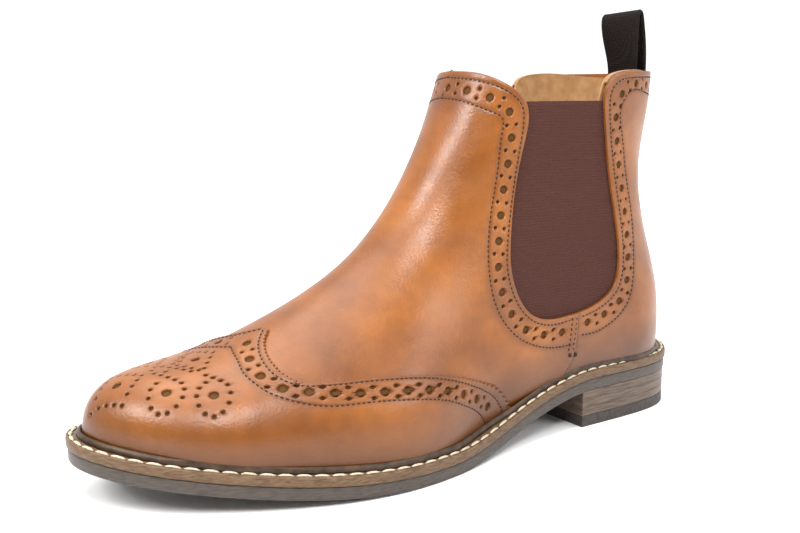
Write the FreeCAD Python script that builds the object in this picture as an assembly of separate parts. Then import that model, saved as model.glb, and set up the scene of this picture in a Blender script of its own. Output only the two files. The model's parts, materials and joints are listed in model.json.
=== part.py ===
"""Chelsea boot for a left foot, with a wingtip toe cap and elastic gores.

Millimetres.  +Z is up, the toe points along -Y and the outer (lateral) side is +X.
The heel and the ball of the sole rest on z = 0, and the box of the sole is centred
on x = 0, y = 0.
"""
import FreeCAD, Part
import math
import os

Vector = FreeCAD.Vector

# ---------------------------------------------------------------- driving dimensions
SOLE_LENGTH = 302.0
HEEL_X = -3.4            # centre line of the heel and the shaft; the ball swings outwards
HEEL_BLOCK_LENGTH = 78.4
HEEL_HEIGHT = 17.4       # floor to the underside of the outsole at the heel
TOP_LIFT_THICKNESS = 5.4
HEEL_LIFTS = 3
TOE_SPRING = 16.3        # underside of the toe above the floor
BALL_Y = -18.7           # the sole leaves the floor in front of this
ARCH_Y = -11.6           # and behind this
HEEL_SEAT_Y = 84.6       # the sole is level again behind this
OUTSOLE_THICKNESS = 5.3
WELT_THICKNESS = 4.2
WELT_WIDTH = 13.0
OUTSOLE_STEP = 0.6       # the welt stands proud of the outsole and the heel stack
RAND_HEIGHT = 2.4
RAND_WIDTH = 1.4

LEATHER = 1.5
WING_LEATHER = 1.2
BACKING = 1.5            # cloth, gore or stiffener between leather and lining
LINING = 0.9
GLUE = 0.15              # glue line between two layers
FEATHER_GAP = 0.2        # the upper's lower edge above the welt
INSOLE_THICKNESS = 2.4
SOCK_THICKNESS = 1.2

WEBBING = 1.4
TAB_WIDTH = 20.0
TAB_TOP = 193.0
COLLAR_BACK_Z = 163.8

# Outline of the sole: y, then the lateral and the medial edge from the heel's centre line.
SOLE_OUTLINE = [
    (151.0, 0.0, 0.0),
    (146.0, 13.0, 13.6),
    (133.0, 25.3, 26.0),
    (113.0, 31.0, 33.0),
    (88.0, 33.0, 35.0),
    (60.0, 34.7, 34.6),
    (30.0, 39.5, 34.2),
    (0.0, 48.6, 35.4),
    (-30.0, 54.9, 39.8),
    (-60.0, 54.0, 46.9),
    (-91.0, 45.8, 48.4),
    (-115.0, 36.0, 42.8),
    (-134.0, 24.8, 32.6),
    (-146.0, 12.0, 20.4),
    (-151.0, -3.4, 3.4),
]

# Last: half width of the upper at the feather line, and the swing of its centre line.
FEATHER_HALF_WIDTH = [(-146, 29.4), (-126, 35.2), (-110, 38.2), (-92, 40.4), (-74, 41.4),
                      (-51, 41.8), (-31, 41.3), (-12, 38.4), (13, 33.2), (32, 30.6),
                      (53, 29.4), (75, 29.3), (110, 29.8), (145, 29.8)]
SWING = [(-146, -4.5), (-126, -4.2), (-110, -2.8), (-92, -0.4), (-74, 3.0), (-51, 7.0),
         (-31, 8.4), (-12, 7.2), (13, 3.2), (32, 3.0), (53, 2.2), (75, 1.2), (110, 0.0),
         (145, 0.0)]
# Front ridge of toe, instep and shaft: y, and the height above the feather line.
RIDGE = [(-143.4, 0), (-141.7, 11.2), (-135.2, 19.8), (-123.1, 26.2), (-100.6, 34.2),
         (-79.1, 45.5), (-52.1, 61), (-27.3, 78), (-7.9, 99), (3.4, 116), (12.2, 132),
         (19.7, 150)]
# Back of the heel and shaft: height above the feather line, and y.
BACK = [(0, 140.2), (20, 139.5), (40, 137.0), (65, 127.9), (95, 124.8), (120, 127.9),
        (150, 128.2)]
SHAFT_HALF_WIDTH = [(0, 31.0), (40, 33.0), (70, 33.1), (100, 31.7), (130, 34.9), (160, 35.2)]
FOOT_TOP = 22.0          # the foot's section starts to turn into the shaft's
SHAFT_BOTTOM = 78.0      # and has turned into it
SWING_TOP = 100.0        # the swing has died out at this height
TOE_ROUNDING = 52.0      # length of the rounded toe in plan
TOE_FULLNESS = 2.1       # exponents of the rounded sections: 2 is an ellipse
RIDGE_FULLNESS = 2.3
BACK_FULLNESS = 2.15
BULGE = 2.5              # how far the sides swell over the welt
BULGE_TOP = 60.0
BULGE_RUN = 30.0         # the swell starts within this distance of the toe
BACK_RUN = 34.0          # length of the rounded back at the heel
BACK_RUN_GROWTH = 8.0    # and how much longer it is at the collar
COLLAR_HEIGHT = 140.0
RIDGE_CURVING = 0.15     # how fast the ridge steepens above its last point, per millimetre

# Seams in side view: y, z.
GORE_EDGE = [(38.6, 158.0), (39.4, 140.0), (35.6, 121.0), (30.6, 96.0), (29.3, 78.0),
             (34.5, 64.0), (46.0, 55.3), (62.0, 53.6), (80.0, 57.0), (91.0, 63.5),
             (94.5, 74.0), (90.8, 95.0), (85.8, 122.0), (80.0, 143.0), (80.0, 158.0)]
GORE_MARGIN = 7.0
GORE_TOP = 149.5
FRONT_COLLAR = [(-20.0, 166.0), (8.0, 164.6), (20.0, 163.0), (28.0, 159.0), (34.5, 155.0),
                (38.0, 150.5), (39.0, 146.0)]
BACK_COLLAR = [(79.4, 146.0), (80.0, 154.0), (82.5, 160.0), (90.0, 163.0), (105.0, 163.8),
               (150.0, 163.8)]
SIDE_SEAM = [(68.5, 60.0), (66.8, 38.0), (61.0, 24.0), (58.0, 10.0)]
SEAM_GAP = 0.2
WING_EDGE = [(-68.0, 66.0), (-75.0, 58.6), (-81.5, 53.5), (-82.5, 49.5), (-76.0, 45.6),
             (-63.0, 43.6), (-40.0, 42.6), (-18.0, 40.0), (-2.0, 35.0), (10.0, 28.6),
             (18.0, 22.0), (24.0, 12.0)]
TOE_PUFF_Y = -96.0
COUNTER_TOP = 72.0       # the heel counter runs from one side seam round to the other

FAR = 90.0               # beyond the boot on either side


# ---------------------------------------------------------------- curves
def natural_spline(points):
    """Smooth function through (x, y) points, with no bending at its ends."""
    xs = [float(x) for x, _ in points]
    ys = [float(y) for _, y in points]
    n = len(xs) - 1
    gap = [xs[i + 1] - xs[i] for i in range(n)]
    slope = [(ys[i + 1] - ys[i]) / gap[i] for i in range(n)]
    bend = [0.0] * (n + 1)
    pivot = [1.0] * (n + 1)
    share = [0.0] * (n + 1)
    for i in range(1, n):
        pivot[i] = 2 * (gap[i - 1] + gap[i]) - gap[i - 1] * share[i - 1]
        share[i] = gap[i] / pivot[i]
        bend[i] = (6 * (slope[i] - slope[i - 1]) - gap[i - 1] * bend[i - 1]) / pivot[i]
    for i in range(n - 1, 0, -1):
        bend[i] -= share[i] * bend[i + 1]

    def value(x):
        i = 0
        while i < n - 1 and x > xs[i + 1]:
            i += 1
        t = x - xs[i]
        first = slope[i] - gap[i] * (2 * bend[i] + bend[i + 1]) / 6
        return ys[i] + t * (first + t * (bend[i] / 2 + t * (bend[i + 1] - bend[i]) / (6 * gap[i])))

    return value


def smooth(t):
    t = min(max(t, 0.0), 1.0)
    return t * t * (3 - 2 * t)


def sole_bottom(y):
    """Height of the outsole's underside: level, arch, level under the ball, toe spring."""
    if y > ARCH_Y:
        return HEEL_HEIGHT * smooth((y - ARCH_Y) / (HEEL_SEAT_Y - ARCH_Y))
    if y < BALL_Y:
        t = (BALL_Y - y) / (BALL_Y + SOLE_LENGTH / 2)
        return TOE_SPRING * (1.2 * t ** 2 - 0.2 * t ** 3)
    return 0.0


def feather_z(y):
    """Height of the upper's lower edge."""
    return sole_bottom(y) + OUTSOLE_THICKNESS + WELT_THICKNESS + FEATHER_GAP


# ---------------------------------------------------------------- surface of the upper
feather_half_width = natural_spline(FEATHER_HALF_WIDTH)
swing = natural_spline(SWING)
back_y = natural_spline(BACK)
shaft_half_width = natural_spline(SHAFT_HALF_WIDTH)


def ridge_table(steps=1500):
    """The front ridge as close-set (y, height) pairs that never turn back."""
    along = [0.0]
    for (y0, z0), (y1, z1) in zip(RIDGE, RIDGE[1:]):
        along.append(along[-1] + math.hypot(y1 - y0, z1 - z0))
    y_of = natural_spline([(-along[1], RIDGE[1][0])] + [(s, p[0]) for s, p in zip(along, RIDGE)])
    z_of = natural_spline([(-along[1], -RIDGE[1][1])] + [(s, p[1]) for s, p in zip(along, RIDGE)])
    table = []
    y_last = z_last = -1e9
    for i in range(steps + 1):
        s = along[-1] * i / steps
        y_last = max(y_last + 1e-7, y_of(s))
        z_last = max(z_last + 1e-7, z_of(s))
        table.append((y_last, z_last))
    return table


RIDGE_TABLE = ridge_table()
RIDGE_TOP_SLOPE = ((RIDGE_TABLE[-1][1] - RIDGE_TABLE[-20][1])
                   / (RIDGE_TABLE[-1][0] - RIDGE_TABLE[-20][0]))


def look_up(x, source, target):
    """Straight-line reading of the ridge table, from one column to the other."""
    low, high = 0, len(RIDGE_TABLE) - 1
    if x <= RIDGE_TABLE[low][source]:
        return RIDGE_TABLE[low][target]
    if x >= RIDGE_TABLE[high][source]:
        return RIDGE_TABLE[high][target]
    while high - low > 1:
        middle = (low + high) // 2
        if RIDGE_TABLE[middle][source] <= x:
            low = middle
        else:
            high = middle
    a, b = RIDGE_TABLE[low], RIDGE_TABLE[high]
    share = (x - a[source]) / (b[source] - a[source])
    return a[target] + share * (b[target] - a[target])


def front_y(height):
    return look_up(height, 1, 0)


def ridge_height(y):
    past = max(y - RIDGE_TABLE[-1][0], 0.0)
    return look_up(y, 0, 1) + past * (RIDGE_TOP_SLOPE + past * RIDGE_CURVING / 2)


def rounded(share, fullness):
    """Quarter of a rounded section: 1 where share is 0 or less, 0 where it is 1."""
    return math.sqrt(1 - min(max(share, 0.0), 1.0) ** fullness)


def half_width(y, height):
    """Half the upper's width at y, at a height above the feather line."""
    toe_y = RIDGE_TABLE[0][0]
    turn = smooth((height - FOOT_TOP) / (SHAFT_BOTTOM - FOOT_TOP))
    into_toe = min(max((y - toe_y) / TOE_ROUNDING, 0.0), 1.0)
    foot = feather_half_width(y) * rounded(1 - into_toe, TOE_FULLNESS)
    width = foot * (1 - turn) + shaft_half_width(height) * turn
    rise = min(max(height / BULGE_TOP, 0.0), 1.0)
    swell = 6.75 * rise * (1 - rise) ** 2        # 1 at its highest, a third of the way up
    width += BULGE * swell * (1 - turn) * smooth((y - toe_y) / BULGE_RUN)
    run = BACK_RUN + BACK_RUN_GROWTH * smooth(height / COLLAR_HEIGHT)
    front = rounded(height / max(ridge_height(y), 1e-6), RIDGE_FULLNESS)
    back = rounded((y - back_y(height) + run) / run, BACK_FULLNESS)
    return width * front * back


def skin_point(turn, rise, side):
    """Point on the outside of the upper.

    turn runs from 0 on the front ridge to 1 on the back seam, rise from 0 on the
    feather line to 1 at the top of the ridge, and side is 1 lateral or -1 medial.
    """
    height = RIDGE_TABLE[round(rise * (len(RIDGE_TABLE) - 1))][1]
    y0, y1 = front_y(height), back_y(height)
    y = y0 + (y1 - y0) * (1 - math.cos(math.pi * turn)) / 2
    x = HEEL_X + swing(y) * (1 - smooth(height / SWING_TOP)) + side * half_width(y, height)
    return Vector(x, y, height + feather_z(y))


def offset_point(turn, rise, side, depth):
    """Point a given depth inside the outer skin."""
    step = 0.012
    # Past the ridge or the back seam the other side carries the surface on.
    def around(t):
        if t < 0:
            return skin_point(-t, rise, -side)
        if t > 1:
            return skin_point(2 - t, rise, -side)
        return skin_point(t, rise, side)
    across = around(turn + step) - around(turn - step)
    up = skin_point(turn, min(rise + step, 1), side) - skin_point(turn, max(rise - step, 0), side)
    inward = up.cross(across) * side
    inward.normalize()
    return skin_point(turn, rise, side) + inward * depth


def skin_surface(depth, turns=22, rises=30):
    """Ring at one depth, from the back seam round the front and back to it."""
    grid = []
    for i in range(rises + 1):
        rise = i / rises
        lateral = [offset_point(1 - j / turns, rise, 1, depth) for j in range(turns)]
        medial = [offset_point(j / turns, rise, -1, depth) for j in range(turns)]
        grid.append(lateral + medial + lateral[:1])
    surface = Part.BSplineSurface()
    surface.interpolate(grid)
    return surface


def layer(outer_depth, inner_depth):
    """Closed ring of the upper between two depths, from feather line to above the collar."""
    outer = skin_surface(outer_depth)
    inner = skin_surface(inner_depth)
    faces = [outer.toShape(), inner.toShape()]
    for rise in (0.0, 1.0):
        faces.append(Part.makeRuledSurface(outer.uIso(rise).toShape(), inner.uIso(rise).toShape()))
    shell = Part.Shell(faces)
    shell.sewShape()
    solid = Part.Solid(shell)
    if solid.Volume < 0:
        solid.reverse()
    return solid


# ---------------------------------------------------------------- cutting shapes
def side_curve(points):
    curve = Part.BSplineCurve()
    curve.interpolate([Vector(-FAR, y, z) for y, z in points])
    return curve.toShape()


def side_polyline(points):
    return Part.makePolygon([Vector(-FAR, y, z) for y, z in points]).Edges


def side_block(curve_points, corner_points):
    """Block across the boot, bounded by a curve and by straight lines through the corners."""
    closing = [curve_points[-1]] + corner_points + [curve_points[0]]
    wire = Part.Wire([side_curve(curve_points)] + side_polyline(closing))
    return Part.Face(wire).extrude(Vector(2 * FAR, 0, 0))


def box(x0, x1, y0, y1, z0, z1):
    return Part.makeBox(x1 - x0, y1 - y0, z1 - z0, Vector(x0, y0, z0))


def grown(points, distance):
    """Open line of (y, z) points moved sideways, to the right of its direction."""
    moved = []
    for i, (y, z) in enumerate(points):
        y0, z0 = points[max(i - 1, 0)]
        y1, z1 = points[min(i + 1, len(points) - 1)]
        length = math.hypot(y1 - y0, z1 - z0)
        moved.append((y + (z1 - z0) / length * distance, z - (y1 - y0) / length * distance))
    return moved


def shifted(points, dy):
    return [(y + dy, z) for y, z in points]


def ring_prism(points):
    """Upright solid over a closed outline of (x, y) points."""
    curve = Part.BSplineCurve()
    curve.interpolate(Points=[Vector(x, y, -10) for x, y in points], PeriodicFlag=True)
    return Part.Face(Part.Wire(curve.toShape())).extrude(Vector(0, 0, 80))


def moved_in(points, inset):
    """Closed outline of (x, y) points, anticlockwise from above, moved inwards.

    inset is a distance, or a function of y that gives one.
    """
    moved = []
    for i, (x, y) in enumerate(points):
        x0, y0 = points[i - 1]
        x1, y1 = points[(i + 1) % len(points)]
        length = math.hypot(x1 - x0, y1 - y0)
        distance = inset(y) if callable(inset) else inset
        moved.append((x - (y1 - y0) / length * distance, y + (x1 - x0) / length * distance))
    return moved


def sole_edge(inset, steps=32):
    """Outline of the sole, anticlockwise from the heel's back, moved inwards."""
    half = SOLE_LENGTH / 2
    edges = []
    for column, side in ((2, -1), (1, 1)):
        edges.append((natural_spline([(math.acos(row[0] / half), row[column])
                                      for row in SOLE_OUTLINE]), side))
    points = []
    for i in range(2 * steps):
        angle = math.pi * i / steps
        edge, side = edges[0] if angle < math.pi else edges[1]
        from_heel = angle if angle < math.pi else 2 * math.pi - angle
        points.append((HEEL_X + side * edge(from_heel), half * math.cos(angle)))
    return moved_in(points, inset)


def feather_edge(inset, steps=26):
    """Outline of the upper at the feather line, anticlockwise from the heel's back."""
    medial = [skin_point(1 - i / steps, 0, -1) for i in range(steps)]
    lateral = [skin_point(i / steps, 0, 1) for i in range(steps)]
    return moved_in([(p.x, p.y) for p in medial + lateral], inset)


def sole_profile(lift):
    """Side-view edges of the outsole's underside, raised by lift, from the heel to the toe.

    The arch and the toe spring are cubics, so one Bezier curve each is exact.
    """
    back, front = 160.0, -156.0
    stretch = (BALL_Y - front) / (BALL_Y + SOLE_LENGTH / 2)
    toe_second = TOE_SPRING * 1.2 * stretch ** 2 / 3
    toe_last = TOE_SPRING * (1.2 * stretch ** 2 - 0.2 * stretch ** 3)

    def bezier(y0, y1, heights):
        curve = Part.BezierCurve()
        curve.setPoles([Vector(-FAR, y0 + (y1 - y0) * i / 3, z + lift) for i, z in enumerate(heights)])
        return curve.toShape()

    return (side_polyline([(back, HEEL_HEIGHT + lift), (HEEL_SEAT_Y, HEEL_HEIGHT + lift)])
            + [bezier(HEEL_SEAT_Y, ARCH_Y, (HEEL_HEIGHT, HEEL_HEIGHT, 0, 0))]
            + side_polyline([(ARCH_Y, lift), (BALL_Y, lift)])
            + [bezier(BALL_Y, front, (0, 0, toe_second, toe_last))])


def sole_slab(low, high):
    """Block across the boot between two heights above the outsole's underside."""
    under, over = sole_profile(low), sole_profile(high)
    ends = []
    for a, b in ((under[0].firstVertex(), over[0].firstVertex()),
                 (under[-1].lastVertex(), over[-1].lastVertex())):
        ends.append(Part.makeLine(a.Point, b.Point))
    wire = Part.Wire(Part.__sortEdges__(under + over + ends))
    return Part.Face(wire).extrude(Vector(2 * FAR, 0, 0))


# ---------------------------------------------------------------- regions of the upper
gore_opening = side_block(GORE_EDGE, [])
gore_panel_region = side_block(grown(GORE_EDGE, GORE_MARGIN), [])
gore_clearance = side_block(grown(GORE_EDGE, GORE_MARGIN + SEAM_GAP), [])
under_gore_top = box(-FAR, FAR, -200, 200, -10, GORE_TOP)

front_seam = list(reversed(shifted(SIDE_SEAM, -SEAM_GAP / 2)))
rear_seam = shifted(SIDE_SEAM, SEAM_GAP / 2)
front_region = side_block(
    FRONT_COLLAR,
    [(55, 130)] + list(reversed(front_seam)) + [(58, -10), (-170, -10), (-170, 166)])
rear_region = side_block(
    BACK_COLLAR,
    [(170, 163.8), (170, -10), (58.2, -10)] + list(reversed(rear_seam)) + [(70, 100)])
wing_region = side_block(WING_EDGE, [(24, -10), (-170, -10), (-170, 66)])

toe_puff_region = box(-FAR, FAR, -170, TOE_PUFF_Y, -10, 100)
past_toe_puff = box(-FAR, FAR, TOE_PUFF_Y + SEAM_GAP, 170, -10, 200)
counter_region = box(-FAR, FAR, 0, 170, -10, COUNTER_TOP)
over_counter = box(-FAR, FAR, 0, 170, COUNTER_TOP + SEAM_GAP, 200)
lateral_half = box(HEEL_X + SEAM_GAP / 2, FAR, -200, 200, -10, 200)
medial_half = box(-FAR, HEEL_X - SEAM_GAP / 2, -200, 200, -10, 200)

MIDDLE_DEPTH = LEATHER + GLUE
LINING_DEPTH = MIDDLE_DEPTH + BACKING + GLUE
INNER_DEPTH = LINING_DEPTH + LINING


def upper_parts():
    leather = layer(0.0, LEATHER)
    middle = layer(MIDDLE_DEPTH, MIDDLE_DEPTH + BACKING)
    lining = layer(LINING_DEPTH, INNER_DEPTH)
    wing = layer(-GLUE - WING_LEATHER, -GLUE)

    quarters = leather.common(rear_region).cut(gore_opening)
    gores = middle.common(gore_panel_region).common(under_gore_top)
    behind_front = middle.common(front_region).cut(gore_clearance)
    behind_rear = middle.common(rear_region).cut(gore_clearance)
    return {
        "wing_toe_cap": wing.common(wing_region).common(sole_slab(WELT_TOP + 0.02, 70)),
        "vamp": leather.common(front_region).cut(gore_opening),
        "quarter_lateral": quarters.common(lateral_half),
        "quarter_medial": quarters.common(medial_half),
        "gore_lateral": gores.common(lateral_half),
        "gore_medial": gores.common(medial_half),
        "toe_puff": behind_front.common(toe_puff_region),
        "front_backing": behind_front.common(past_toe_puff),
        "heel_counter": behind_rear.common(counter_region),
        "rear_backing": behind_rear.common(over_counter),
        "vamp_lining": lining.common(front_region).cut(gore_opening),
        "quarter_lining": lining.common(rear_region).cut(gore_opening),
    }


# ---------------------------------------------------------------- bottom unit
NAIL_RADIUS = 1.0
NAIL_BOTTOM = 3.0
NAIL_TOP = 20.5
NAIL_RING = 9.5          # distance from the heel's edge to the row of nails
NAILS = 7
SHANK_WIDTH = 13.0
SHANK_THICKNESS = 1.2
SHANK_FRONT_Y = -12.0
SHANK_BACK_Y = 88.0
BREAST_Y = SOLE_LENGTH / 2 - HEEL_BLOCK_LENGTH
WELT_TOP = OUTSOLE_THICKNESS + WELT_THICKNESS


def heel_nails():
    """Nails in a horseshoe, driven down through the outsole into the top lift."""
    outline = [p for p in sole_edge(NAIL_RING, 60) if p[1] > BREAST_Y + 8]
    outline.sort(key=lambda p: math.atan2(p[1] - BREAST_Y, p[0] - HEEL_X))
    nails = []
    for i in range(NAILS):
        x, y = outline[round(i * (len(outline) - 1) / (NAILS - 1))]
        nails.append(Part.makeCylinder(NAIL_RADIUS, NAIL_TOP - NAIL_BOTTOM, Vector(x, y, NAIL_BOTTOM)))
    return Part.makeCompound(nails)


def rand_gap(y):
    """Clearance from the feather line out to the rand: wider beside the toe cap."""
    return -(0.8 + 1.6 * smooth((48 - y) / 20))


def welt_stitches(covered, pitch=6.7, inset=1.7, radius=0.5, share=0.74):
    """Separate stitches of thick thread on the welt, wherever the rand and upper leave room."""
    path = sole_edge(inset, 180)
    path.append(path[0])
    along = [0.0]
    for (x0, y0), (x1, y1) in zip(path, path[1:]):
        along.append(along[-1] + math.hypot(x1 - x0, y1 - y0))
    count = round(along[-1] / pitch)
    stitches = []

    def at(distance):
        i = 0
        while along[i + 1] < distance:
            i += 1
        part = (distance - along[i]) / (along[i + 1] - along[i])
        x = path[i][0] + part * (path[i + 1][0] - path[i][0])
        y = path[i][1] + part * (path[i + 1][1] - path[i][1])
        return Vector(x, y, sole_bottom(y) + WELT_TOP + radius + 0.05)

    for number in range(count):
        place = along[-1] * (number + 0.5) / count
        half = pitch * share / 2
        start, end = at(max(place - half, 0)), at(min(place + half, along[-1]))
        stitch = Part.makeCylinder(radius, (end - start).Length, start, end - start)
        if stitch.distToShape(covered)[0] > 0.05:
            stitches.append(stitch)
    return Part.makeCompound(stitches)


def bottom_parts():
    nails = heel_nails()
    heel_outline = ring_prism(sole_edge(OUTSOLE_STEP + 0.4))
    above_sole = sole_slab(0, 60)
    parts = {}
    heights = [0.0, TOP_LIFT_THICKNESS]
    for i in range(HEEL_LIFTS):
        heights.append(heights[-1] + (HEEL_HEIGHT - TOP_LIFT_THICKNESS) / HEEL_LIFTS)
    names = ["top_lift"] + ["heel_lift_%d" % (i + 1) for i in range(HEEL_LIFTS)]
    for name, low, high in zip(names, heights, heights[1:]):
        block = box(-FAR, FAR, BREAST_Y, 170, low, high)
        parts[name] = heel_outline.common(block).cut(above_sole).cut(nails)

    shank = box(HEEL_X - SHANK_WIDTH / 2, HEEL_X + SHANK_WIDTH / 2, SHANK_FRONT_Y, SHANK_BACK_Y, -10, 60)
    shank_low = OUTSOLE_THICKNESS + 1.4
    shank = shank.common(sole_slab(shank_low, shank_low + SHANK_THICKNESS))
    inside_welt = ring_prism(sole_edge(WELT_WIDTH))
    bed = sole_slab(OUTSOLE_THICKNESS, WELT_TOP)
    within_rand = ring_prism(feather_edge(lambda y: rand_gap(y) - RAND_WIDTH))
    rand = within_rand.cut(ring_prism(feather_edge(rand_gap)))
    rand = rand.common(sole_slab(WELT_TOP, WELT_TOP + RAND_HEIGHT))
    insole_low = WELT_TOP + 0.05
    insole_top = insole_low + INSOLE_THICKNESS
    parts.update({
        "heel_nails": nails,
        "outsole": ring_prism(sole_edge(OUTSOLE_STEP)).common(
            sole_slab(0, OUTSOLE_THICKNESS)).cut(nails),
        "welt": ring_prism(sole_edge(0)).cut(inside_welt).common(bed),
        "cork_filler": ring_prism(sole_edge(WELT_WIDTH + 0.1)).common(bed).cut(shank),
        "shank": shank,
        "storm_rand": rand,
        "insole": ring_prism(feather_edge(INNER_DEPTH + 0.7)).common(
            sole_slab(insole_low, insole_top)),
        "sock_liner": ring_prism(feather_edge(INNER_DEPTH + 1.0)).common(
            sole_slab(insole_top + 0.05, insole_top + 0.05 + SOCK_THICKNESS)),
        "welt_stitching": welt_stitches(within_rand),
    })
    return parts


# ---------------------------------------------------------------- pull tab and bartacks
SADDLE_GAP = 0.2
SADDLE_BOTTOM = 127.0
SADDLE_TOP = COLLAR_BACK_Z + SADDLE_GAP + WEBBING
KNUCKLE_RADIUS = 1.5
HINGE_Z = SADDLE_TOP + 0.3 + KNUCKLE_RADIUS
HINGE_Y = back_y(COLLAR_BACK_Z - feather_z(130)) - INNER_DEPTH / 2
# Side view of the loop: half depth, and height above the hinge, outside then inside.
LOOP_OUTSIDE = [(1.1, 0.8), (2.7, 4.5), (4.0, 11.0), (4.4, 19.0), (3.4, 25.0)]
LOOP_INSIDE = [(1.2, 5.2), (2.6, 11.0), (3.0, 18.6), (2.2, 23.6)]
LOOP_INSIDE_FOOT = 2.6


def loop_block(half, foot, top):
    """Prism over a pointed oval in side view, as wide as the webbing."""
    right = [(HINGE_Y + y, HINGE_Z + z) for y, z in half]
    left = [(HINGE_Y - y, HINGE_Z + z) for y, z in reversed(half)]
    points = [(HINGE_Y, foot)] + right + [(HINGE_Y, top)] + left
    curve = Part.BSplineCurve()
    x = HEEL_X - TAB_WIDTH / 2
    curve.interpolate(Points=[Vector(x, y, z) for y, z in points], PeriodicFlag=True)
    return Part.Face(Part.Wire(curve.toShape())).extrude(Vector(TAB_WIDTH, 0, 0))


def tab_parts():
    half = TAB_WIDTH / 2
    strip = box(HEEL_X - half, HEEL_X + half, 100, 170, SADDLE_BOTTOM, SADDLE_TOP)
    hollow = box(-FAR, FAR, 100, 170, 100, COLLAR_BACK_Z + SADDLE_GAP)
    strap = layer(-SADDLE_GAP - WEBBING, INNER_DEPTH + SADDLE_GAP + WEBBING).common(strip)
    saddle = strap.cut(layer(-SADDLE_GAP, INNER_DEPTH + SADDLE_GAP).common(hollow))
    loop = loop_block(LOOP_OUTSIDE, HINGE_Z - KNUCKLE_RADIUS / 3, TAB_TOP)
    loop = loop.cut(loop_block(LOOP_INSIDE, HINGE_Z + LOOP_INSIDE_FOOT, TAB_TOP - WEBBING))
    knuckle_end = Vector(HEEL_X - half, HINGE_Y, HINGE_Z)
    loop = loop.fuse(Part.makeCylinder(KNUCKLE_RADIUS, TAB_WIDTH, knuckle_end, Vector(1, 0, 0)))
    return {"pull_tab_saddle": saddle, "pull_tab_loop": loop}


def bartacks(y=66.6, z=35.5, length=6.0, radius=0.6, gap=0.6):
    """Short bars of thread across the foot of each side seam."""
    bars = []
    height = z - feather_z(y)
    for side in (1, -1):
        ends = []
        for end in (y - length / 2, y + length / 2):
            reach = half_width(end, height) + radius + gap
            x = HEEL_X + swing(end) * (1 - smooth(height / SWING_TOP)) + side * reach
            ends.append(Vector(x, end, z))
        bars.append(Part.makeCylinder(radius, length, ends[0], ends[1] - ends[0]))
    return Part.makeCompound(bars)


def main():
    os.makedirs("parts", exist_ok=True)
    nodes = {**upper_parts(), **bottom_parts(), **tab_parts(), "side_seam_bartacks": bartacks()}
    for name, shape in nodes.items():
        solids = shape.Solids
        result = solids[0] if len(solids) == 1 else Part.makeCompound(solids)
        result.exportStep("parts/%s.step" % name)
        size = result.BoundBox
        print("%-20s solids %3d valid %s volume %9.1f  x %6.1f %6.1f  y %7.1f %6.1f  z %6.1f %6.1f" % (
            name, len(solids), result.isValid(), result.Volume,
            size.XMin, size.XMax, size.YMin, size.YMax, size.ZMin, size.ZMax))


main()
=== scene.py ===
"""Looks of the chelsea boot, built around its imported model.

Lengths are in millimetres until a mesh is made, and then in metres.  The upper is one
smooth skin: each leather piece is triangulated flat, in the skin's own two coordinates,
and then laid on it.
"""
import json
import math

import bmesh
import bpy
import numpy as np
from mathutils import Euler, Matrix, Vector
from mathutils.geometry import delaunay_2d_cdt
from mathutils.kdtree import KDTree


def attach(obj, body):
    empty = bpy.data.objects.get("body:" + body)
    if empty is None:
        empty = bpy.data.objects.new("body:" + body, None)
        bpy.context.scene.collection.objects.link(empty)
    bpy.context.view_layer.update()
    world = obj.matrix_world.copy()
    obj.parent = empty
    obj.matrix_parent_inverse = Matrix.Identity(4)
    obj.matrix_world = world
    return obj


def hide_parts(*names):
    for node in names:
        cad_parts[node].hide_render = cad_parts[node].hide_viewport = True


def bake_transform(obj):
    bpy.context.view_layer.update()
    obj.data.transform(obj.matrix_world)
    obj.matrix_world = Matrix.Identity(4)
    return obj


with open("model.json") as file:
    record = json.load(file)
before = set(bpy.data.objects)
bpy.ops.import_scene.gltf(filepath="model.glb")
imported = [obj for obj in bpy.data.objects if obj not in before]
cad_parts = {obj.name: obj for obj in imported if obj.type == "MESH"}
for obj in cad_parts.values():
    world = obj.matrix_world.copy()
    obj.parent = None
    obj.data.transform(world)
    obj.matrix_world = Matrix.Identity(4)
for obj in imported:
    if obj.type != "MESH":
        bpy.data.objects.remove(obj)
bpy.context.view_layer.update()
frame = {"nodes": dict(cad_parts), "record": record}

MM = 0.001

# ---------------------------------------------------------------- dimensions of the boot
SOLE_LENGTH = 302.0
HEEL_X = -3.4
HEEL_BLOCK_LENGTH = 78.4
HEEL_HEIGHT = 17.4
TOP_LIFT_THICKNESS = 5.4
HEEL_LIFTS = 3
TOE_SPRING = 16.3
TOE_FLATTENING = 0.2     # how much less than a parabola the sole rises at the tip
BALL_Y = -18.7
ARCH_Y = -11.6
HEEL_SEAT_Y = 84.6
OUTSOLE_THICKNESS = 5.3
WELT_THICKNESS = 4.2
FEATHER_GAP = 0.2
LEATHER = 1.5
WING_LEATHER = 1.2
GLUE = 0.15
BREAST_Y = SOLE_LENGTH / 2 - HEEL_BLOCK_LENGTH
WELT_TOP = OUTSOLE_THICKNESS + WELT_THICKNESS

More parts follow.
